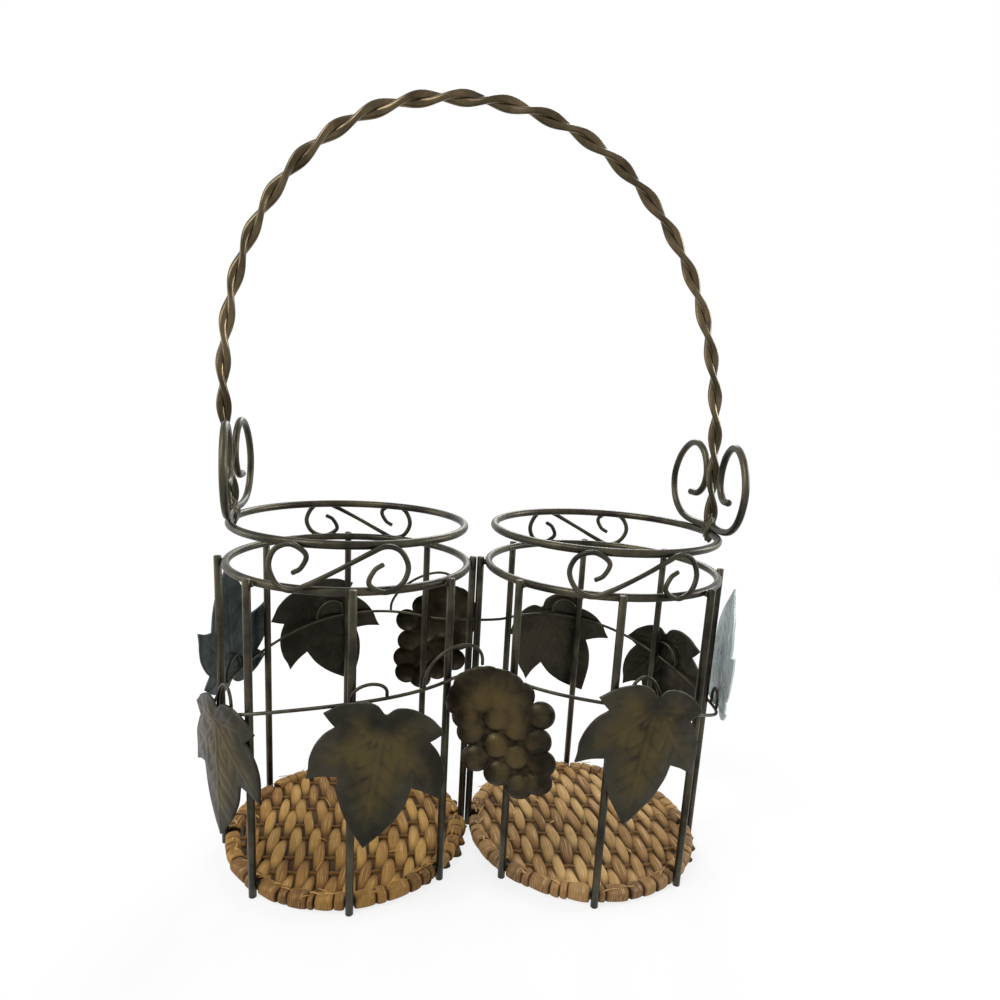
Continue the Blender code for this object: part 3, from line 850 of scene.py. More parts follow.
@dataclass
class Handle:
    """The twisted arch handle and the ram's-horn brackets that carry its feet."""

    cage: Cage
    paint: bpy.types.Material
    bracket_paint: bpy.types.Material
    strand: float = 0.0040
    wind_radius: float = 0.00145
    strand_half_sizes: tuple[float, float] = (0.00175, 0.00136)
    strand_steps: int = 1100
    strand_sides: int = 32
    top: float = 0.337
    spring: float = 0.200
    lean: float = -0.0110
    power: float = 2.15
    turns: float = 12.55
    first_turn: float = 0.385
    leg_steps: int = 20
    arch_steps: int = 480
    bracket_wire: float = 0.0032
    bracket_half_width: float = 0.0375
    bracket_rise: float = 0.0385
    bracket_steps: int = 260
    bracket_sides: int = 18
    foot_weld: tuple[float, float, float] = (0.0031, 0.0041, 0.0070)
    foot_weld_sink: float = 0.2
    foot_weld_taper: float = 0.30
    bracket_shares: Shares = (
        (0.54, 0.36), (0.36, 0.37), (0.235, 0.48), (0.20, 0.66), (0.29, 0.87), (0.47, 0.99),
        (0.68, 0.97), (0.89, 0.80), (1.00, 0.53), (0.93, 0.25), (0.74, 0.07), (0.45, 0.00))
    toe_in: dict[Side, tuple[float, float]] = field(
        default_factory=lambda: {Side.LEFT: (9.0, 0.0), Side.RIGHT: (4.0, 8.5)})

    @property
    def foot_x(self) -> float:
        """How far each foot stands from the middle."""
        return self.cage.offset + self.cage.top_radius

    @property
    def bracket_height(self) -> float:
        """The height of the brackets' lowest wire."""
        return self.cage.top_height + self.cage.wire / 2 + self.cage.weld + self.bracket_wire / 2

    def line(self) -> list[Vector]:
        """The handle's centre line.

        Returns:
            Points from the left foot over the arch to the right foot.
        """
        start = self.foot_height + self.strand
        leg = [Vector((-self.foot_x, 0, start + (self.spring - start) * step / self.leg_steps))
               for step in range(self.leg_steps)]
        arch = []
        for step in range(self.arch_steps + 1):
            turn = math.pi * step / self.arch_steps
            across = math.copysign(abs(math.cos(turn)) ** (2 / self.power), math.cos(turn))
            up = abs(math.sin(turn)) ** (2 / self.power)
            arch.append(Vector((-self.foot_x * across, 0, self.spring + (self.top - self.spring) * up)))
        path = leg + arch + [Vector((-spot.x, 0, spot.z)) for spot in reversed(leg)]
        for spot in path:
            spot.x += self.lean * (spot.z - start) / (self.top - start)
        return path

    @property
    def foot_height(self) -> float:
        """Where the handle's feet meet the brackets."""
        return self.bracket_height + self.bracket_wire / 2 + self.cage.weld

    def strands(self) -> None:
        """Both strands, each wound round the centre line by one tree and run down into the foot welds."""
        line = bpy.data.meshes.new("handle_line")
        spots = self.line()
        length = sum((after - before).length for before, after in zip(spots, spots[1:]))
        spots = [spots[0] - Vector((0, 0, self.strand)), *spots, spots[-1] - Vector((0, 0, self.strand))]
        per_length = self.turns / length
        line.from_pydata([tuple(spot) for spot in spots], [(i, i + 1) for i in range(len(spots) - 1)], [])
        recipe = Recipe("twisted_strand")
        phase, wound_turns = recipe.size("Phase"), recipe.size("Turns")
        wind, reach, flat = (recipe.size(name) for name in ("Twist radius", "Half width", "Half thickness"))
        count = recipe.size("Count", "NodeSocketInt")
        even = recipe.add("ResampleCurve", Curve=recipe.add("MeshToCurve", Mesh=recipe.given), Count=count)
        along = recipe.add("InputTangent")
        share = recipe.add("SplineParameter")
        travel = recipe.maths("MULTIPLY", recipe.maths("MULTIPLY", wound_turns, TAU), share)
        turn = recipe.maths("ADD", phase, travel)
        outward = recipe.add("ShaderNodeVectorMath", {"operation": "CROSS_PRODUCT"}, s0=along,
                             s1=(0.0, 1.0, 0.0))
        out = recipe.add("ShaderNodeVectorMath", {"operation": "SCALE"}, s0=outward,
                         Scale=recipe.maths("COSINE", turn))
        side = recipe.add("ShaderNodeCombineXYZ", Y=recipe.maths("SINE", turn))
        aim = recipe.add("ShaderNodeVectorMath", {"operation": "ADD"}, s0=out, s1=side)
        aimed = recipe.add("SetCurveNormal", {"mode": "FREE"}, Curve=even, Normal=aim)
        shift = recipe.add("ShaderNodeVectorMath", {"operation": "SCALE"}, s0=aim, Scale=wind)
        wound = recipe.add("SetPosition", Geometry=aimed, Offset=shift)
        circle = recipe.add("CurvePrimitiveCircle", Resolution=self.strand_sides, Radius=1.0)
        oval = recipe.add("ShaderNodeCombineXYZ", X=reach, Y=flat)
        section = recipe.add("Transform", Geometry=circle, Scale=oval)
        solid = recipe.add("CurveToMesh", Curve=wound, Profile_Curve=section, Fill_Caps=True)
        recipe.finish(solid, self.paint)
        for word, half in (("a", 0.0), ("b", 0.5)):
            start = TAU * (self.first_turn + half)
            sizes = {"Phase": start - TAU * per_length * self.strand,
                     "Turns": per_length * (length + 2 * self.strand),
                     "Twist radius": self.wind_radius, "Half width": self.strand_half_sizes[0],
                     "Half thickness": self.strand_half_sizes[1], "Count": self.strand_steps}
            wear(recipe.make(f"handle_strand_{word}_wire", line.copy(), sizes), "bronzed_iron",
                 f"handle_strand_{word}")

    def bracket(self, side: Side) -> None:
        """One bent wire with two loops, standing on the top ring.

        Args:
            side: Which foot it stands at.
        """
        x = side.value * self.foot_x
        front_toe, back_toe = (math.radians(angle) for angle in self.toe_in[side])

        def bend(across: float, up: float, toe: float) -> Vector:
            """A point of one half, bent inwards about the handle's foot."""
            reach = across * self.bracket_half_width
            return Vector((x - side.value * abs(reach) * math.sin(toe), reach * math.cos(toe),
                           self.bracket_height + up * self.bracket_rise))

        back = [bend(across, up, back_toe) for across, up in self.bracket_shares]
        front = [bend(-across, up, front_toe) for across, up in reversed(self.bracket_shares)]
        path = smooth_path([*back, bend(0.0, 0.0, 0.0), *front], self.bracket_steps)
        name = f"{side.word}_bracket"
        wire = sweep(name + "_wire", path, self.bracket_wire / 2, self.bracket_sides, self.bracket_paint)
        wear(wire, "bronzed_iron", name)
        foot = Vector((x, 0, self.bracket_height - self.bracket_wire * self.foot_weld_sink))
        bm = bmesh.new()
        bmesh.ops.create_icosphere(bm, subdivisions=4, radius=1.0)
        for vert in bm.verts:
            x, y, z = vert.co
            lump = 1.0 + 0.08 * math.sin(y * 6 + z * 4) + 0.06 * math.sin(x * 9 - z * 7)
            narrow = 1.0 - self.foot_weld_taper * max(z, 0.0)
            vert.co = foot + Vector((x * narrow, y * narrow, z)) * Vector(self.foot_weld) * lump
        wear(settle(f"{side.word}_foot_weld", bm, self.bracket_paint), "bronzed_iron")

    def build(self) -> None:
        """Make the handle and its brackets."""
        self.strands()
        for side in Side:
            self.bracket(side)


def edge_gaps(spots: np.ndarray, outline: np.ndarray) -> tuple[np.ndarray, np.ndarray]:
    """How points lie to a closed outline.

    Args:
        spots: The points.
        outline: The outline's corners.

    Returns:
        Their distances from its edge, and whether each is inside.
    """
    start, stop = outline, np.roll(outline, -1, axis=0)
    along = stop - start
    rest = spots[:, None, :] - start[None]
    share = np.clip((rest * along).sum(2) / (along ** 2).sum(1), 0.0, 1.0)
    gap = np.linalg.norm(rest - along * share[..., None], axis=2).min(1)
    height = spots[:, 1:2]
    crosses = (start[:, 1] > height) != (stop[:, 1] > height)
    slope = along[:, 0] / np.where(along[:, 1] == 0, 1.0, along[:, 1])
    inside = (crosses & (rest[..., 0] < slope * rest[..., 1])).sum(1) % 2 == 1
    return gap, inside


class Stamping:
    """A sheet cut to an outline in fine triangles, which a form is then pressed into."""

    row_share = 0.866
    first_row = 0.58
    edge_room = 0.55
    edge_fade = 0.012
    same_spot = 1e-9

    def __init__(self, outline: Sequence[Vector], spacing: float, thickness: float) -> None:
        """Cut the flat sheet.

        Args:
            outline: Its flat edge, anticlockwise.
            spacing: The distance between inner points.
            thickness: The sheet's thickness.
        """
        self.edge = np.array([tuple(spot) for spot in outline])
        self.thickness = thickness
        low, high = self.edge.min(0), self.edge.max(0)
        row_pitch = spacing * self.row_share
        inner = []
        for row in range(int((high[1] - low[1]) / row_pitch)):
            shift = spacing * (0.5 if row % 2 else 0.0)
            for column in range(int((high[0] - low[0]) / spacing)):
                inner.append((low[0] + shift + column * spacing, low[1] + (row + self.first_row) * row_pitch))
        gap, inside = edge_gaps(np.array(inner), self.edge)
        room = spacing * self.edge_room
        wanted = [Vector(spot) for spot, far, within in zip(inner, gap, inside) if within and far > room]
        rim = [list(range(len(outline)))]
        points, _, faces, _, _, _ = delaunay_2d_cdt(list(outline) + wanted, [], rim, 1, self.same_spot)
        self.spots = np.array([tuple(point) for point in points])
        self.faces = []
        for face in faces:
            one, two, three = (points[index] for index in face[:3])
            self.faces.append(list(face) if (two - one).cross(three - one) > 0 else list(reversed(face)))
        self.margin = edge_gaps(self.spots, self.edge)[0]

    def press(self, name: str, level: np.ndarray, relief: np.ndarray, hollow: float,
              material: bpy.types.Material, frame: Matrix) -> bpy.types.Object:
        """Raise the sheet to its form.

        Args:
            name: The piece's name.
            level: The sheet's bend at each point.
            relief: What is pressed out at each point.
            hollow: The share of the relief that shows on the back.
            material: What it wears.
            frame: The place of the flat sheet.

        Returns:
            The new object, with its relief and its distance from the edge as attributes.
        """
        bm = bmesh.new()
        relief_of, edge_of = bm.verts.layers.float.new("relief"), bm.verts.layers.float.new("edge")
        sides = []
        for heights, front in ((level + relief * hollow, 0.0), (level + relief + self.thickness, 1.0)):
            side = []
            for spot, height, tall, far in zip(self.spots, heights, relief / relief.max(), self.margin):
                vert = bm.verts.new(frame @ Vector((spot[0], spot[1], height)))
                vert[relief_of] = tall
                vert[edge_of] = min(far / self.edge_fade, 1.0) * front
                side.append(vert)
            sides.append(side)
        back, front = sides
        rim: dict[tuple[int, int], None] = {}
        for order in self.faces:
            bm.faces.new([front[index] for index in order])
            bm.faces.new([back[index] for index in reversed(order)])
            for start, stop in zip(order, order[1:] + order[:1]):
                if (stop, start) in rim:
                    del rim[(stop, start)]
                else:
                    rim[(start, stop)] = None
        for start, stop in rim:
            bm.faces.new((front[start], back[start], back[stop], front[stop]))
        return settle(name, bm, material)


class Patina(Enum):
    """Which paint a leaf wears: plain bronze, a bluish copy with a painted sky reflection, or a grey copy
    with a pale painted reflection on its back.
    """

    BRONZE = "bronze"
    BLUED = "blued"
    GREYED = "greyed"


@dataclass(frozen=True)
class Hung:
    """Where a leaf or cluster hangs on the hoop."""

    name: str
    side: Side
    angle: float
    rise: float
    lean: float
    turn: float
    patina: Patina = Patina.BRONZE
    stem_rise: float = 0.0085
    stem_turn: float = 0.0


@dataclass(frozen=True)
class HungCluster(Hung):
    """A grape cluster, whose stem runs from the hoop to the top of one grape."""

    foot_side: Side = Side.LEFT
    foot_angle: float = 0.0
    grape: int = 2


@dataclass
class Garland:
    """The vine hoop with its stamped leaves, grape clusters and arched stems."""

    cages: dict[Side, Cage]
    paint: bpy.types.Material
    leaf_paints: dict[Patina, bpy.types.Material]
    grape_paint: bpy.types.Material
    wire: float = 0.0015
    height: float = 0.099
    droop: float = 0.025
    droop_power: float = 3.3
    valley_reach: float = 0.008
    valley_steps: int = 16
    hoop_steps: int = 120
    wire_sides: int = 12
    stem_wire: float = 0.0014
    stem_span: float = 0.0140
    stem_steps: int = 40
    sheet: float = 0.0010
    half_width: float = 0.0270
    length: float = 0.0610
    fold: float = 0.0016
    curl: float = 0.0022
    vein_rise: float = 0.0006
    vein_width: float = 0.0009
    panel_rise: float = 0.0007
    panel_pitch: float = 0.0066
    panel_start: float = 0.0019
    flat_edge: float = 0.0045
    dent: float = 0.00022
    leaf_step: float = 0.0011
    leaf_spacing: float = 0.0008
    leaf_hollow: float = 0.8
    outline_shares: Shares = (
        (0.00, -0.01), (0.19, 0.09), (0.37, 0.20), (0.50, 0.33), (0.55, 0.455), (0.78, 0.43), (1.00, 0.385),
        (0.99, 0.45), (1.00, 0.53), (0.95, 0.63), (0.84, 0.72), (0.69, 0.79), (0.78, 0.82), (0.89, 0.865),
        (0.78, 0.905), (0.64, 0.955), (0.38, 1.00), (0.15, 0.995), (0.02, 0.945))
    vein_root: tuple[float, float] = (0.0, 0.86)
    vein_tips: Shares = ((0.00, 0.00), (0.95, 0.41), (0.84, 0.87))
    sharp_corners: tuple[int, ...] = (0, 4, 6, 11, 13, 18)
    grape_radius: float = 0.0053
    grape_rim: float = 0.0063
    rim_steps: int = 40
    grape_bulge: float = 0.0030
    dome_reach: float = 1.14
    dome_power: float = 0.62
    dome_change: float = 0.14
    cap_reach: float = 0.0088
    cap_rise: float = 0.95
    web_share: float = 0.65
    web_reach: float = 1.6
    join_power: int = 5
    cluster_spacing: float = 0.00065
    cluster_hollow: float = 0.9
    cap_shares: Shares = ((-0.86, 0.80), (-0.52, 0.99), (-0.14, 0.99), (0.20, 0.89))
    cluster_half_width: float = 0.0163
    cluster_half_height: float = 0.0253
    grape_rise: float = 0.0125
    grape_shares: Shares = (
        (-1.00, 0.65), (-0.69, 0.95), (-0.33, 1.00), (0.05, 0.93), (0.34, 0.81), (0.57, 0.61),
        (0.99, 0.21), (0.77, -0.25), (0.77, -0.66), (0.59, -0.98), (0.08, -1.00), (-0.41, -0.70),
        (-0.91, -0.38), (-0.88, 0.11), (-0.92, 0.40), (-0.15, 0.29), (0.31, 0.05), (-0.31, -0.20),
        (0.16, -0.46), (-0.43, 0.65), (0.03, 0.61), (0.42, 0.35))
    leaves: tuple[Hung, ...] = (
        Hung("leaf_left_front", Side.LEFT, -74.0, -0.48, -8.0, -20.0, stem_rise=0.0058, stem_turn=-3.5),
        Hung("leaf_right_front", Side.RIGHT, -84.0, -0.34, -10.0, 0.0, stem_rise=0.0125),
        Hung("leaf_left_corner", Side.LEFT, -143.5, -0.39, 1.0, 5.0, stem_rise=0.0120),
        Hung("leaf_left_side", Side.LEFT, 162.0, 0.40, 178.0, -4.0, Patina.BLUED),
        Hung("leaf_left_back", Side.LEFT, 105.0, -0.17, -25.0, -2.0),
        Hung("leaf_right_back", Side.RIGHT, 91.5, -0.32, -28.0, -1.0),
        Hung("leaf_right_corner", Side.RIGHT, 33.0, -0.20, -6.0, 0.0),
        Hung("leaf_right_side", Side.RIGHT, -15.0, 0.48, 182.0, 4.0, Patina.GREYED))
    clusters: tuple[HungCluster, ...] = (
        HungCluster("grapes_front", Side.RIGHT, -141.0, -0.33, 14.0, 40.0, foot_angle=-55.0),
        HungCluster("grapes_back", Side.LEFT, 49.0, -0.22, 12.0, 30.0, foot_angle=73.0))
    hoop: list[Vector] = field(default_factory=list)

    @property
    def reach(self) -> float:
        """The hoop's radius round each cage."""
        cage = self.cages[Side.LEFT]
        return cage.bar_circle + cage.bar_wire / 2 + cage.weld + self.wire / 2

    def level(self, x: float) -> float:
        """The hoop's height, highest in the middle and drooping to both ends."""
        end = self.cages[Side.LEFT].offset + self.reach
        return self.height - self.droop * (abs(x) / end) ** self.droop_power

    def at(self, side: Side, angle: float) -> Vector:
        """A point on the hoop at an angle round one cage."""
        spot = self.cages[side].spot(self.reach, angle, 0)
        spot.z = self.level(spot.x)
        return spot

    def valley(self, start: Vector, stop: Vector) -> list[Vector]:
        """The hoop's run from one cage to the other, drawn in slightly.

        Args:
            start: Where it leaves one cage.
            stop: Where it meets the other.

        Returns:
            The points between them.
        """
        reach = math.copysign(self.valley_reach * math.sqrt(0.5), -start.y)
        lead = Vector((math.copysign(reach, stop.x - start.x), reach, 0))
        tail = Vector((-lead.x, lead.y, 0))
        run = []
        for step in range(1, self.valley_steps):
            t = step / self.valley_steps
            run.append(start * (1 - t) ** 3 + (start + lead) * 3 * t * (1 - t) ** 2
                       + (stop + tail) * 3 * t ** 2 * (1 - t) + stop * t ** 3)
        return run

    def bend_hoop(self) -> None:
        """Lay the hoop's path and sweep its thin wire."""
        cage = self.cages[Side.LEFT]
        span = 360 - 720 / cage.bars
        left = [cage.spot(self.reach, cage.bar_angle(1) + span * step / self.hoop_steps, 0)
                for step in range(self.hoop_steps + 1)]
        right = [Vector((-spot.x, spot.y, 0)) for spot in reversed(left)]
        self.hoop = left + self.valley(left[-1], right[0]) + right + self.valley(right[-1], left[0])
        for spot in self.hoop:
            spot.z = self.level(spot.x)
        wire = sweep("vine_hoop_wire", self.hoop, self.wire / 2, self.wire_sides, self.paint, closed=True)
        wear(wire, "bronzed_iron", "vine_hoop")

    def leaf_spot(self, shares: tuple[float, float]) -> Vector:
        """A place on the flat leaf from its shares."""
        return Vector((shares[0] * self.half_width, (shares[1] - 0.5) * self.length))

    def leaf_outline(self) -> list[Vector]:
        """The leaf's edge: soft curves between its sharp tips and notches.

        Returns:
            Points anticlockwise round the flat leaf.
        """
        right: list[Vector] = []
        run: list[Vector] = []
        for index, shares in enumerate(self.outline_shares):
            run.append(self.leaf_spot(shares).to_3d())
            if index in self.sharp_corners and len(run) > 1:
                length = sum((stop - start).length for start, stop in zip(run, run[1:]))
                count = max(round(length / self.leaf_step), 1)
                right += smooth_path(run, count)[:-1] if len(run) > 2 else resample(run, count)[:-1]
                run = run[-1:]
        right.append(run[-1])
        flat = [spot.to_2d() for spot in right]
        return flat + [Vector((-spot.x, spot.y)) for spot in reversed(flat[1:])]

    def leaf_level(self, spots: np.ndarray) -> np.ndarray:
        """The fold along the midrib and the curl of the sides at each point."""
        share = np.minimum(np.abs(spots[:, 0]) / self.half_width, 1.0)
        return -self.fold * share - self.curl * share ** 2

    def leaf_relief(self, spots: np.ndarray, margin: np.ndarray) -> np.ndarray:
        """What is pressed outwards: main veins, and puffed panels parted by grooves that run down and out.

        Args:
            spots: Places on the flat leaf.
            margin: Their distances from its edge.

        Returns:
            The heights over the plain leaf.
        """
        root = np.array(self.leaf_spot(self.vein_root))
        gap, share, reach, vein = (np.full(len(spots), value) for value in (np.inf, 0.0, 0.0, 0.0))
        tips = [(across * sign, up) for across, up in self.vein_tips
                for sign in ((1.0, -1.0) if across else (1.0,))]
        for number, tip in enumerate(tips):
            along = np.array(self.leaf_spot(tip)) - root
            length = np.linalg.norm(along)
            part = (spots - root) @ along / length ** 2
            far = np.linalg.norm(spots - root - along * np.clip(part, 0.0, 1.0)[:, None], axis=1)
            nearer = far < gap
            for kept, new in ((gap, far), (share, part), (reach, length), (vein, number)):
                kept[nearer] = new[nearer] if isinstance(new, np.ndarray) else new
        taper = np.clip(1.2 - share, 0.3, 1.0)
        run = (share * reach - gap * 0.85) / self.panel_pitch
        puff = np.abs(np.sin(math.pi * run)) ** 0.5 * (0.85 + 0.15 * np.sin(np.floor(run) * 2.3 + vein * 1.7))
        inside = (1.0 - np.exp(-(gap / self.panel_start) ** 2)) * np.clip(margin / self.flat_edge, 0.0, 1.0)
        ridge = self.vein_rise * taper * np.exp(-(gap / self.vein_width) ** 2)
        dents = self.dent * (1 + np.sin(spots[:, 0] * 310 + spots[:, 1] * 170) * np.cos(spots[:, 1] * 260))
        return ridge + self.panel_rise * taper * inside * puff + dents

    def frame_of(self, hung: Hung, height: float, sheet: Stamping,
                 level: Callable[[np.ndarray], np.ndarray]) -> Matrix:
        """The place of a hung sheet: facing outwards, leaned, and pushed out to rest on the hoop.

        Args:
            hung: Where it hangs.
            height: The sheet's own height.
            sheet: The sheet.
            level: The height of its back's low parts at given places.

        Returns:
            The sheet's frame.
        """
        turn = math.radians(hung.angle + hung.turn)
        out = Vector((math.cos(turn), math.sin(turn), 0))
        basis = Matrix((Vector((0, 0, 1)).cross(out), Vector((0, 0, 1)), out)).transposed().to_4x4()
        anchor = self.at(hung.side, hung.angle) + Vector((0, 0, hung.rise * height))
        frame = Matrix.Translation(anchor) @ basis @ Matrix.Rotation(math.radians(hung.lean), 4, "Z")
        clear = self.wire / 2 + self.cages[Side.LEFT].weld
        inward = frame.inverted()
        near = np.array([tuple(inward @ start.lerp(stop, share)) for share in (0.0, 0.5)
                         for start, stop in zip(self.hoop, self.hoop[1:] + self.hoop[:1])])
        near = near[near[:, 2] > -2 * self.half_width]
        gap, inside = edge_gaps(near[:, :2], sheet.edge)
        met = near[inside | (gap < clear)]
        push = float((met[:, 2] - level(met[:, :2])).max())
        return frame @ Matrix.Translation((0, 0, push + clear))

    def stem(self, name: str, start: Vector, stop: Vector, rise: float) -> None:
        """A small arched wire with upright ends.

        Args:
            name: The node that it stands for.
            start: Its first foot.
            stop: Its second foot.
            rise: How high it stands over them.
        """
        lift = Vector((0, 0, self.stem_wire))
        path = [start]
        for step in range(self.stem_steps + 1):
            turn = math.pi * step / self.stem_steps
            spot = start.lerp(stop, (1 - math.cos(turn)) / 2) + lift
            path.append(spot + Vector((0, 0, (rise - self.stem_wire) * math.sin(turn))))
        path.append(stop)
        wire = sweep(name + "_wire", path, self.stem_wire / 2, self.wire_sides, self.paint)
        wear(wire, "bronzed_iron", name)

    def foot(self, side: Side, angle: float) -> Vector:
        """A place on top of the hoop for a stem's foot."""
        half_angle = math.degrees(self.stem_wire / 2 / self.reach)
        spot = self.at(side, angle)
        spot.z = max(self.at(side, angle + step * half_angle).z for step in (-1, 1))
        spot.z += self.wire / 2 + self.cages[side].weld
        return spot

    def hang_leaves(self) -> None:
        """All the leaves and their stems."""
        sheet = Stamping(self.leaf_outline(), self.leaf_spacing, self.sheet)
        level, relief = self.leaf_level(sheet.spots), self.leaf_relief(sheet.spots, sheet.margin)
        half_angle = math.degrees(self.stem_span / 2 / self.reach)
        for hung in self.leaves:
            frame = self.frame_of(hung, self.length, sheet, self.leaf_level)
            piece = sheet.press(hung.name + "_sheet", level, relief, self.leaf_hollow,
                                self.leaf_paints[hung.patina], frame)
            wear(piece, "bronzed_sheet", hung.name)
            feet = [self.foot(hung.side, hung.angle + hung.stem_turn + step * half_angle) for step in (-1, 1)]
            self.stem(hung.name + "_stem", *feet, hung.stem_rise)

    def cluster_spots(self, shares: Sequence[tuple[float, float]]) -> list[Vector]:
        """Places on the flat cluster from their shares."""
        return [Vector((across * self.cluster_half_width, up * self.cluster_half_height))
                for across, up in shares]

    def grape_outline(self) -> list[Vector]:
        """The outer edge of the rims round all the grapes.

        Returns:
            Points walked anticlockwise.
        """
        centres = self.cluster_spots(self.grape_shares + self.cap_shares)
        rim = self.grape_rim
        first = now = max(range(len(centres)), key=lambda index: centres[index].x)
        angle = 0.0
        outline: list[Vector] = []
        while True:
            meets = []
            for other, centre in enumerate(centres):
                across = centre - centres[now]
                if other != now and across.length < 2 * rim:
                    meet = math.atan2(across.y, across.x) - math.acos(across.length / (2 * rim))
                    meets.append(((meet - angle) % TAU, other, meet))
            travel, other, meet = min(meets)
            closing = now == first and len(outline) > 0 and -angle % TAU <= travel
            if closing:
                travel = -angle % TAU
            steps = max(round(travel / TAU * self.rim_steps), 1)
            for step in range(steps):
                turn = angle + travel * step / steps
                outline.append(centres[now] + Vector((math.cos(turn), math.sin(turn))) * rim)
            if closing:
                return outline
            corner = centres[now] + Vector((math.cos(meet), math.sin(meet))) * rim
            now = other
            angle = math.atan2(corner.y - centres[now].y, corner.x - centres[now].x)

    def grape_relief(self, spots: np.ndarray) -> np.ndarray:
        """The grapes' domes, softly joined, with some merged under a smooth cap at the top.

        Args:
            spots: Places on the sheet.

        Returns:
            How far the sheet is pressed out at each place.
        """
        centres = np.array([tuple(spot) for spot in self.cluster_spots(self.grape_shares)])
        reach = self.grape_radius * self.dome_reach
        shares = np.linalg.norm(spots[:, None, :] - centres[None], axis=2) / reach
        talls = self.grape_bulge * (1.0 + self.dome_change * np.sin(np.arange(len(centres)) * 2.3))
        domes = talls * np.clip(1 - shares ** 2, 0.0, 1.0) ** self.dome_power
        third = np.sort(shares, axis=1)[:, 2] / self.web_reach
        web = self.grape_bulge * self.web_share * np.clip(1 - third ** 2, 0.0, 1.0)
        chain = np.array([tuple(spot) for spot in self.cluster_spots(self.cap_shares)])
        shares = np.linspace(0, 1, 12)[:, None]
        line = np.concatenate([start + (stop - start) * shares for start, stop in zip(chain, chain[1:])])
        gap = np.linalg.norm(spots[:, None, :] - line[None], axis=2).min(1) / self.cap_reach
        cap = self.grape_bulge * self.cap_rise * np.clip(1 - gap ** 2, 0.0, 1.0) ** 0.5
        heights = np.column_stack((domes, web, cap))
        return (heights ** self.join_power).sum(axis=1) ** (1 / self.join_power)

    def hang_clusters(self) -> None:
        """Both grape clusters and their stems."""
        sheet = Stamping(self.grape_outline(), self.cluster_spacing, self.sheet)
        relief = self.grape_relief(sheet.spots)
        height = 2 * (self.cluster_half_height + self.grape_rim)
        for hung in self.clusters:
            frame = self.frame_of(hung, height, sheet, lambda spots: np.zeros(len(spots)))
            piece = sheet.press(hung.name + "_sheet", relief * 0, relief, self.cluster_hollow,
                                self.grape_paint, frame)
            wear(piece, "bronzed_sheet", hung.name)
            top = frame @ Vector((*self.cluster_spots(self.grape_shares)[hung.grape], self.sheet / 2))
            top.z += self.grape_rim + self.cages[Side.LEFT].weld
            self.stem(hung.name + "_stem", self.foot(hung.foot_side, hung.foot_angle), top, self.grape_rise)

    def build(self) -> None:
        """Make the hoop and everything on it."""
        self.bend_hoop()
        self.hang_leaves()
        self.hang_clusters()


class GrassMesh:
    """A mesh of grass: its corners carry a tone and a painted light share, and its faces lie on the map
    called along.
    """

    def __init__(self) -> None:
        """Start an empty mesh with the layers that the grass's material reads."""
        self.bm = bmesh.new()
        self.bm.loops.layers.uv.new("along")
        layers = self.bm.verts.layers.float
        layers.new("tone")
        layers.new("crest")
        self.tone, self.crest = layers["tone"], layers["crest"]

    def corner(self, spot: Vector, tone: float, crest: float) -> bmesh.types.BMVert:
        """Add a corner.

        Args:
            spot: Its place.
            tone: About 0 for brown grass and about 1 for pale grass.
            crest: The painted light, 0 for painted shade in a crossing and 1 for full light.

        Returns:
            The corner.
        """
        made = self.bm.verts.new(spot)
        made[self.tone] = tone
        made[self.crest] = crest
        return made


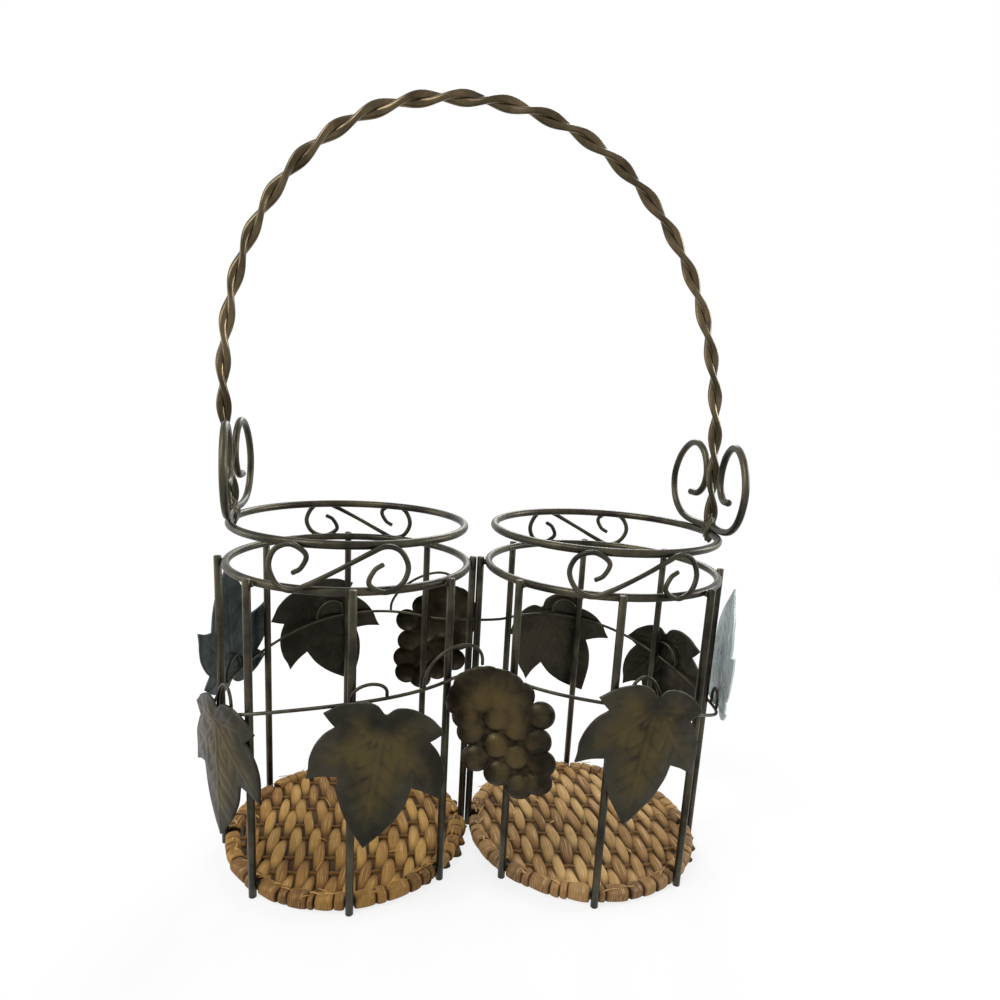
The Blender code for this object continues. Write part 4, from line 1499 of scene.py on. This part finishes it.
@dataclass
class WovenMat:
    """The woven grass mat in one cage's floor, its rim wrapped round the base ring."""

    cage: Cage
    grass: bpy.types.Material
    bow: float
    seed: int
    column_pitch: float = 0.0047
    row_pitch: float = 0.0124
    row_shift: float = 0.16
    sway: float = 0.0012
    field_radius: float = 0.0540
    middle_height: float = 0.0033
    wave: float = 0.0011
    under_drop: float = 0.0013
    under_width: float = 1.35
    under_light: float = 0.25
    strand_half_width: float = 0.00285
    strand_half_thickness: float = 0.00185
    strand_step: float = 0.0010
    strand_sides: int = 14
    strand_lot: int = 24
    strand_tones: tuple[float, float] = (0.10, 1.0)
    strand_plumps: tuple[float, float] = (0.84, 1.10)
    strand_shift: float = 0.0008
    strand_widths: tuple[float, float] = (0.40, 0.64)
    strand_thicknesses: tuple[float, float] = (0.42, 0.60)
    bulge_power: float = 0.72
    section_power: float = 0.85
    crease: float = 0.16
    slant: float = -0.11
    slant_spread: float = 0.12
    cord_radius: float = 0.00070
    cord_rise: float = 0.0006
    cord_twist: float = 0.0098
    cord_step: float = 0.0011
    cord_sides: int = 8
    wrap_radius: float = 0.00335
    wrap_sides: int = 24
    wrap_power: float = 0.72
    wrap_profile: Shares = ((-0.50, 0.80), (-0.47, 0.93), (-0.40, 1.01), (-0.20, 1.06), (0.05, 1.08),
                            (0.25, 1.05), (0.40, 1.00), (0.47, 0.92), (0.50, 0.80))
    wraps: int = 6
    wrap_widths: tuple[float, ...] = (0.45, 0.7, 1.0, 1.2, 1.6)
    wrap_tilt: float = 6.0
    wrap_rock: float = 0.02
    wrap_ranges: Shares = ((0.97, 1.06), (0.92, 1.0), (0.86, 1.0))
    wrap_tones: tuple[float, float] = (-0.30, 0.60)
    rim_lift: float = 0.0003
    notch_degrees: float = 3.6
    bed_drop: float = 0.0008
    bed_share: float = 0.62
    bed_steps: int = 120
    bed_sides: int = 12
    frays: int = 84
    rim_fray_share: float = 0.86
    fray_height: float = 0.0055
    fray_half_thickness: float = 0.00018
    fray_half_widths: tuple[float, float] = (0.00025, 0.00055)
    fray_lengths: tuple[float, float] = (0.003, 0.0075)
    fray_slopes: tuple[float, float] = (0.02, 0.16)
    fray_tones: tuple[float, float] = (0.7, 1.3)
    fray_turn: float = 35.0
    fray_profile: Shares = ((0.0, 0.7), (0.45, 1.0), (1.0, 0.15))

    def cord_sway(self, x: float) -> float:
        """How far the cross cords stray from straight at a place across the mat."""
        return self.sway * math.sin(x * 70 + self.seed)

    def woven_strand(self, mesh: GrassMesh, x: float, phase: int, dice: random.Random,
                     under: bool = False) -> None:
        """Add one plump strand, drawn in under every second cross cord and swelling over the one between.

        Args:
            mesh: The mesh to add to.
            x: The strand's place across the mat.
            phase: Whether it starts over or under.
            dice: The mat's own chance.
            under: Whether it belongs to the shaded layer below.
        """
        half = math.sqrt(max(self.field_radius ** 2 - x ** 2, 0.0))
        count = max(round(half * 2 / self.strand_step), 8)
        lot = [(dice.uniform(*self.strand_tones), dice.uniform(*self.strand_plumps),
                dice.uniform(-self.strand_shift, self.strand_shift),
                self.slant + dice.uniform(-self.slant_spread, self.slant_spread))
               for _ in range(self.strand_lot)]
        # The lower layer takes only a small share of the painted light, which paints it in shade.
        width, light = (self.under_width, self.under_light) if under else (1.0, 1.0)
        thin, swell = self.strand_widths
        low, rise = self.strand_thicknesses
        rings = []
        for step in range(count + 1):
            y = -half + 2 * half * step / count
            run = ((y - self.cord_sway(x)) / self.row_pitch - phase * (1 + self.row_shift)) / 2
            tone, plump, shift, slant = lot[int(math.floor(run)) % self.strand_lot]
            bulge = abs(math.sin(math.pi * run)) ** self.bulge_power
            wide = self.strand_half_width * (thin + swell * bulge) * plump * width
            thick = self.strand_half_thickness * (low + rise * bulge)
            lean = self.bow * (1 - (y / self.field_radius) ** 2)
            offset = shift * bulge + slant * (run - math.floor(run) - 0.5) * 2 * self.row_pitch * bulge
            level = -self.under_drop if under else self.wave * (bulge - 0.55)
            middle = Vector((self.cage.middle_x + x + lean + offset, y, self.middle_height + level))
            ring = []
            for turn in even_turns(self.strand_sides):
                across = math.copysign(abs(math.cos(turn)) ** self.section_power, math.cos(turn))
                groove = self.crease * math.exp(-(math.cos(turn) / 0.20) ** 2) * (dice.random() * 0.5 + 0.75)
                spot = middle + Vector((wide * across, 0, thick * math.sin(turn) * (1.0 - groove)))
                # Painted light and shade: the top of each strand and its swelling middle are painted lit; its
                # underside and the ends that dip under the cords are painted in shade.
                lit = (0.04 + 0.96 * bulge ** 1.4) * (0.05 + 0.95 * max(math.sin(turn), 0.0) ** 0.6)
                ring.append(mesh.corner(spot, tone, lit * light))
            rings.append(ring)
        join_rings(mesh.bm, rings, uv_at=lambda around, along: (
            around / self.strand_sides + x * 40, along / count * half * 20))

    def weave(self, dice: random.Random) -> bpy.types.Object:
        """The strands of both layers, column by column.

        Args:
            dice: The mat's own chance.

        Returns:
            All the strands as one piece.
        """
        mesh = GrassMesh()
        columns = int(self.field_radius / self.column_pitch)
        for column in range(-columns, columns + 1):
            self.woven_strand(mesh, column * self.column_pitch, column % 2, dice)
            self.woven_strand(mesh, (column + 0.5) * self.column_pitch, (column + 1) % 2, dice, under=True)
        return settle(f"{self.cage.side.word}_mat_weave", mesh.bm, self.grass)

    def wrap_pattern(self) -> bpy.types.Mesh:
        """One strip folded round the rim: a short boxy sleeve along X, one unit long.

        Returns:
            The pattern mesh.
        """
        mesh = GrassMesh()
        rings = []
        for share, swell in self.wrap_profile:
            ring = []
            for turn in even_turns(self.wrap_sides):
                reach = self.wrap_radius * swell * (1 + 0.025 * math.sin(turn * 3 + share * 4))
                flat, tall = (reach * math.copysign(abs(part) ** self.wrap_power, part)
                              for part in (math.cos(turn), math.sin(turn)))
                # Painted shade: each strip darkens towards its two ends, where it tucks under its neighbours.
                ring.append(mesh.corner(Vector((share, flat, tall)), 0.5, 1.0 - (abs(share) * 2) ** 6))
            rings.append(ring)
        join_rings(mesh.bm, rings, uv_at=lambda around, along: (
            self.wrap_profile[along][0] * 1.1, around / self.wrap_sides * 0.9))
        return to_mesh("wrap_pattern", mesh.bm)

    def rim(self, dice: random.Random) -> bpy.types.Object:
        """Wraps all round the base ring, parted at every bar, set by a tree from points with their own sizes.

        Args:
            dice: The mat's own chance.

        Returns:
            The rim.
        """
        spots, spins, sizes, tones = [], [], [], []
        gap = 360 / self.cage.bars
        for bar in range(self.cage.bars):
            start = min(self.cage.bar_angle(bar), self.cage.bar_angle(bar) + gap) + self.notch_degrees / 2
            room = gap - self.notch_degrees
            widths = [dice.choice(self.wrap_widths) * dice.uniform(0.85, 1.15) for _ in range(self.wraps)]
            angle = start
            for width in widths:
                span = room * width / sum(widths)
                middle = angle + span / 2
                angle += span
                tilt = math.radians(dice.uniform(-self.wrap_tilt, self.wrap_tilt))
                spots.append(self.cage.spot(self.cage.radius, middle, self.cage.base_height + self.rim_lift))
                rock = dice.uniform(-self.wrap_rock, self.wrap_rock)
                spins.append((0.0, rock, math.radians(middle + 90) + tilt))
                length = 2 * self.cage.radius * math.sin(math.radians(span / 2))
                long, deep, tall = (dice.uniform(*limits) for limits in self.wrap_ranges)
                sizes.append((length * long, deep, tall))
                tones.append(dice.uniform(*self.wrap_tones))
        points = bpy.data.meshes.new("rim_points")
        points.from_pydata([tuple(spot) for spot in spots], [], [])
        recipe = Recipe(f"{self.cage.side.word}_rim")
        carried = {}
        for name, kind, part, values in (("spin", "FLOAT_VECTOR", "vector", spins),
                                         ("size", "FLOAT_VECTOR", "vector", sizes),
                                         ("mood", "FLOAT", "value", tones)):
            layer = points.attributes.new(name, kind, "POINT")
            for item, value in zip(layer.data, values):
                setattr(item, part, value)
            carried[name] = recipe.add("InputNamedAttribute", {"data_type": kind}, Name=name)
        pattern = recipe.size("Pattern", "NodeSocketObject")
        shape = recipe.add("ObjectInfo", out="Geometry", Object=pattern)
        held = recipe.add("InstanceOnPoints", Points=recipe.given, Instance=shape,
                          Rotation=carried["spin"], Scale=carried["size"])
        real = recipe.add("RealizeInstances", s0=held)
        toned = recipe.add("StoreNamedAttribute", {"data_type": "FLOAT", "domain": "POINT"},
                           Geometry=real, Name="tone", Value=carried["mood"])
        recipe.finish(toned, self.grass)
        sample = linked("wrap_sample", self.wrap_pattern())
        made = recipe.make(f"{self.cage.side.word}_mat_rim", points, {"Pattern": sample})
        bpy.data.objects.remove(sample, do_unlink=True)
        return made

    def cords(self, dice: random.Random) -> bpy.types.Object:
        """The thin cords that run across under and over the strands.

        Args:
            dice: The mat's own chance.

        Returns:
            All the cords as one piece.
        """
        mesh = GrassMesh()
        level = self.middle_height + self.cord_rise
        outs = [Vector((0, math.cos(around), math.sin(around))) * self.cord_radius
                for around in even_turns(self.cord_sides)]
        rows = int(self.field_radius / self.row_pitch)
        for row in range(-rows, rows + 1):
            y = (row + self.row_shift * (row % 2)) * self.row_pitch
            half = math.sqrt(max((self.field_radius - 0.001) ** 2 - y ** 2, 0.0))
            count = max(round(half * 2 / self.cord_step), 6)
            for strand in range(2):
                rings = []
                for step in range(count + 1):
                    x = -half + 2 * half * step / count
                    turn = TAU * x / self.cord_twist + math.pi * strand
                    middle = Vector((self.cage.middle_x + x, y + self.cord_sway(x), level))
                    middle += Vector((0, math.cos(turn) * 0.6, math.sin(turn) * 0.4)) * self.cord_radius
                    # The cords carry a fixed middling painted light, so they are painted partly in shade.
                    rings.append([mesh.corner(middle + out, 0.2 * dice.random(), 0.55) for out in outs])
                join_rings(mesh.bm, rings, uv_at=lambda around, along: (
                    around / self.cord_sides * 0.4, along * 0.02))
        return settle(f"{self.cage.side.word}_mat_cords", mesh.bm, self.grass)

    def sliver(self, mesh: GrassMesh, dice: random.Random) -> None:
        """Add one loose sliver of grass that stands up from the rim or the weave.

        Args:
            mesh: The mesh to add to.
            dice: The mat's own chance.
        """
        if dice.random() < self.rim_fray_share:
            angle = dice.uniform(0, 360)
            root = self.cage.spot(self.cage.radius + dice.uniform(-0.002, 0.001), angle,
                                  self.cage.base_height + self.wrap_radius * 0.9)
            aim = math.radians(angle + dice.choice((-90, 90)) + dice.uniform(-self.fray_turn, self.fray_turn))
        else:
            root = self.cage.spot(dice.uniform(0.005, 0.046), dice.uniform(0, 360), self.fray_height)
            aim = dice.uniform(0, TAU)
        length = dice.uniform(*self.fray_lengths)
        run = Vector((math.cos(aim), math.sin(aim), dice.uniform(*self.fray_slopes))) * length
        side = run.cross(Vector((0, 0, 1))).normalized() * dice.uniform(*self.fray_half_widths)
        lift = Vector((0, 0, self.fray_half_thickness))
        tone = dice.uniform(*self.fray_tones)
        rings = []
        for share, wide in self.fray_profile:
            middle = root + run * share + Vector((0, 0, math.sin(share * 2.4) * length * 0.10))
            edges = (side * wide, lift, -side * wide, -lift)
            # Loose slivers carry full painted light and no painted shade.
            rings.append([mesh.corner(middle + edge, tone, 1.0) for edge in edges])
        join_rings(mesh.bm, rings)

    def loose_ends(self, dice: random.Random) -> bpy.types.Object:
        """All the loose slivers as one piece."""
        mesh = GrassMesh()
        for _ in range(self.frays):
            self.sliver(mesh, dice)
        return settle(f"{self.cage.side.word}_mat_frays", mesh.bm, self.grass)

    def bed(self) -> bpy.types.Object:
        """A coil of grass under the edge of the weave, where the strands end inside the rim; it carries no
        painted light, so it is painted in the shadow colour all over.
        """
        radius = self.cage.radius - self.wrap_radius * 0.9
        height = self.middle_height - self.bed_drop
        path = [self.cage.spot(radius, math.degrees(turn), height) for turn in even_turns(self.bed_steps)]
        # Painted shade: the coil has no tone or painted light of its own, which the grass material reads as
        # full shadow.
        thick = self.wrap_radius * self.bed_share
        return sweep(f"{self.cage.side.word}_mat_edge", path, thick, self.bed_sides, self.grass, closed=True)

    def build(self) -> None:
        """Make the whole mat."""
        dice = random.Random(self.seed)
        node = f"{self.cage.side.word}_mat"
        for piece in (self.weave(dice), self.cords(dice), self.bed(), self.rim(dice), self.loose_ends(dice)):
            wear(piece, "seagrass", node)


@dataclass(frozen=True)
class Lamp:
    """A soft square lamp that looks at the carrier."""

    name: str
    spot: tuple[float, float, float]
    size: float
    power: float
    target_height: float = 0.15

    def build(self) -> None:
        """Hang the lamp."""
        data = bpy.data.lights.new(self.name, "AREA")
        data.size = self.size
        data.energy = self.power
        lamp = linked(self.name, data)
        lamp.location = self.spot
        aim = Vector((0, 0, self.target_height)) - Vector(self.spot)
        lamp.rotation_euler = aim.to_track_quat("-Z", "Y").to_euler()


@dataclass(frozen=True)
class Studio:
    """The plain studio: floor, soft lights and the photograph's camera."""

    position: tuple[float, float, float] = (-0.0322, -0.3184, 0.2167)
    yaw: float = 6.74
    pitch: float = -12.0
    roll: float = 3.06
    focal_share: float = 0.6975
    shift: tuple[float, float] = (0.0097, 0.0477)
    sensor: float = 36.0
    nearest: float = 0.01
    ambient: float = 0.36
    floor_radius: float = 6.0
    floor_corners: int = 96
    lamps: tuple[Lamp, ...] = (
        Lamp("key", (-0.7, -0.5, 1.1), size=0.6, power=10.0),
        Lamp("side", (1.2, 0.15, 0.55), size=0.45, power=9.0),
        Lamp("back", (0.25, 1.1, 0.9), size=0.6, power=9.0),
        Lamp("left", (-1.2, 0.1, 0.35), size=0.6, power=4.0))

    def camera(self) -> None:
        """Set the camera where the photograph was taken from."""
        yaw, pitch, roll = (math.radians(angle) for angle in (self.yaw, self.pitch, self.roll))
        ahead = Vector((math.sin(yaw) * math.cos(pitch), math.cos(yaw) * math.cos(pitch), math.sin(pitch)))
        level = Vector((math.cos(yaw), -math.sin(yaw), 0))
        above = level.cross(ahead)
        right = level * math.cos(roll) + above * math.sin(roll)
        up = above * math.cos(roll) - level * math.sin(roll)
        place = Matrix((right, up, -ahead)).transposed().to_4x4()
        place.translation = Vector(self.position)
        data = bpy.data.cameras.new("camera")
        data.sensor_width = self.sensor
        data.lens = self.focal_share * self.sensor
        data.shift_x, data.shift_y = self.shift
        data.clip_start = self.nearest
        lens = linked("camera", data)
        lens.matrix_world = place
        bpy.context.scene.camera = lens

    def world(self) -> None:
        """A white backdrop for the camera, reflections and glass, and gentle light from all round."""
        scene = bpy.context.scene
        scene.world = bpy.data.worlds.new("studio")
        scene.world.use_nodes = True
        tree = scene.world.node_tree
        back = tree.nodes["Background"]
        back.inputs["Color"].default_value = (1, 1, 1, 1)
        path = tree.nodes.new("ShaderNodeLightPath")
        seen = path.outputs[BACKDROP_RAYS[0]]
        for ray in BACKDROP_RAYS[1:]:
            either = tree.nodes.new("ShaderNodeMath")
            either.operation = "MAXIMUM"
            tree.links.new(seen, either.inputs[0])
            tree.links.new(path.outputs[ray], either.inputs[1])
            seen = either.outputs[0]
        spread = tree.nodes.new("ShaderNodeMapRange")
        spread.inputs["To Min"].default_value = self.ambient
        tree.links.new(seen, spread.inputs["Value"])
        tree.links.new(spread.outputs[0], back.inputs["Strength"])

    def floor(self) -> None:
        """A wide floor disc."""
        bm = bmesh.new()
        bmesh.ops.create_circle(bm, cap_ends=True, segments=self.floor_corners, radius=self.floor_radius)
        floor = settle("floor", bm, PaleFloor().build())
        if floor.data.polygons[0].normal.z < 0:
            floor.data.flip_normals()

    def build(self) -> None:
        """Set up everything that isn't the object."""
        self.camera()
        self.world()
        self.floor()
        for lamp in self.lamps:
            lamp.build()
        bpy.context.scene.view_settings.view_transform = "Standard"


@dataclass(frozen=True)
class Weave:
    """What sets one mat apart: its grass, how far its columns bow, and the seed of its chance."""

    grass: DriedGrass
    bow: float
    seed: int


WIRE_PAINT = BronzePaint(
    "bronzed_iron_paint", dark=(0.022, 0.020, 0.015), olive=(0.071, 0.064, 0.042),
    rubbed=(0.165, 0.126, 0.070), patch_scale=55.0, rubbed_share=0.10, roughness=0.38, metallic=0.80,
    peel=0.06)
HANDLE_PAINT = BronzePaint(
    "handle_paint", dark=(0.046, 0.035, 0.020), olive=(0.115, 0.087, 0.050), rubbed=(0.26, 0.185, 0.100),
    patch_scale=60.0, rubbed_share=0.18, roughness=0.28, metallic=0.90, peel=0.03, low=(0.050, 0.049, 0.032))
LEAF_PAINTS = {
    Patina.BRONZE: BronzePaint(
        "leaf_paint", dark=(0.019, 0.018, 0.013), olive=(0.049, 0.045, 0.032), rubbed=(0.080, 0.060, 0.025),
        patch_scale=42.0, rubbed_share=0.16, roughness=0.42, metallic=0.90, stamped=True),
    # A lighter bluish copy of the leaf paint, as a painted reflection of the sky.
    Patina.BLUED: BronzePaint(
        "blued_leaf_paint", dark=(0.026, 0.033, 0.032), olive=(0.075, 0.092, 0.088),
        rubbed=(0.150, 0.180, 0.175), patch_scale=60.0, rubbed_share=0.16, roughness=0.42, metallic=0.70,
        stamped=True),
    # A grey copy of the leaf paint whose back is painted pale, as a painted reflection.
    Patina.GREYED: BronzePaint(
        "greyed_leaf_paint", dark=(0.024, 0.027, 0.025), olive=(0.060, 0.068, 0.063),
        rubbed=(0.105, 0.110, 0.095), patch_scale=60.0, rubbed_share=0.16, roughness=0.40, metallic=0.75,
        stamped=True, back=(0.54, 0.62, 0.62))}
GRAPE_PAINT = BronzePaint(
    "grape_paint", dark=(0.013, 0.011, 0.007), olive=(0.044, 0.036, 0.022), rubbed=(0.082, 0.058, 0.025),
    patch_scale=60.0, rubbed_share=0.16, roughness=0.44, metallic=0.90, stamped=True)
WEAVES = {
    Side.LEFT: Weave(DriedGrass("golden_grass", straw=(0.78, 0.55, 0.24), pale=(0.61, 0.365, 0.098),
                                tan=(0.33, 0.165, 0.034), brown=(0.155, 0.066, 0.014)), bow=0.0045, seed=11),
    Side.RIGHT: Weave(DriedGrass("pale_grass", straw=(0.90, 0.69, 0.41), pale=(0.66, 0.425, 0.165),
                                 tan=(0.37, 0.200, 0.062), brown=(0.170, 0.080, 0.025)), bow=0.0025, seed=23)}


def main() -> None:
    """Load the frame, dress every piece and set the studio."""
    logging.basicConfig(level=logging.INFO, format="%(name)s: %(message)s")
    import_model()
    wire = WIRE_PAINT.build()
    cages = {side: Cage(side, wire) for side in Side}
    for side, cage in cages.items():
        cage.build()
        weave = WEAVES[side]
        WovenMat(cage, weave.grass.build(), weave.bow, weave.seed).build()
    Handle(cages[Side.LEFT], HANDLE_PAINT.build(), wire).build()
    leaf_paints = {patina: paint.build() for patina, paint in LEAF_PAINTS.items()}
    Garland(cages, wire, leaf_paints, GRAPE_PAINT.build()).build()
    Studio().build()


if __name__ == "__main__":
    main()
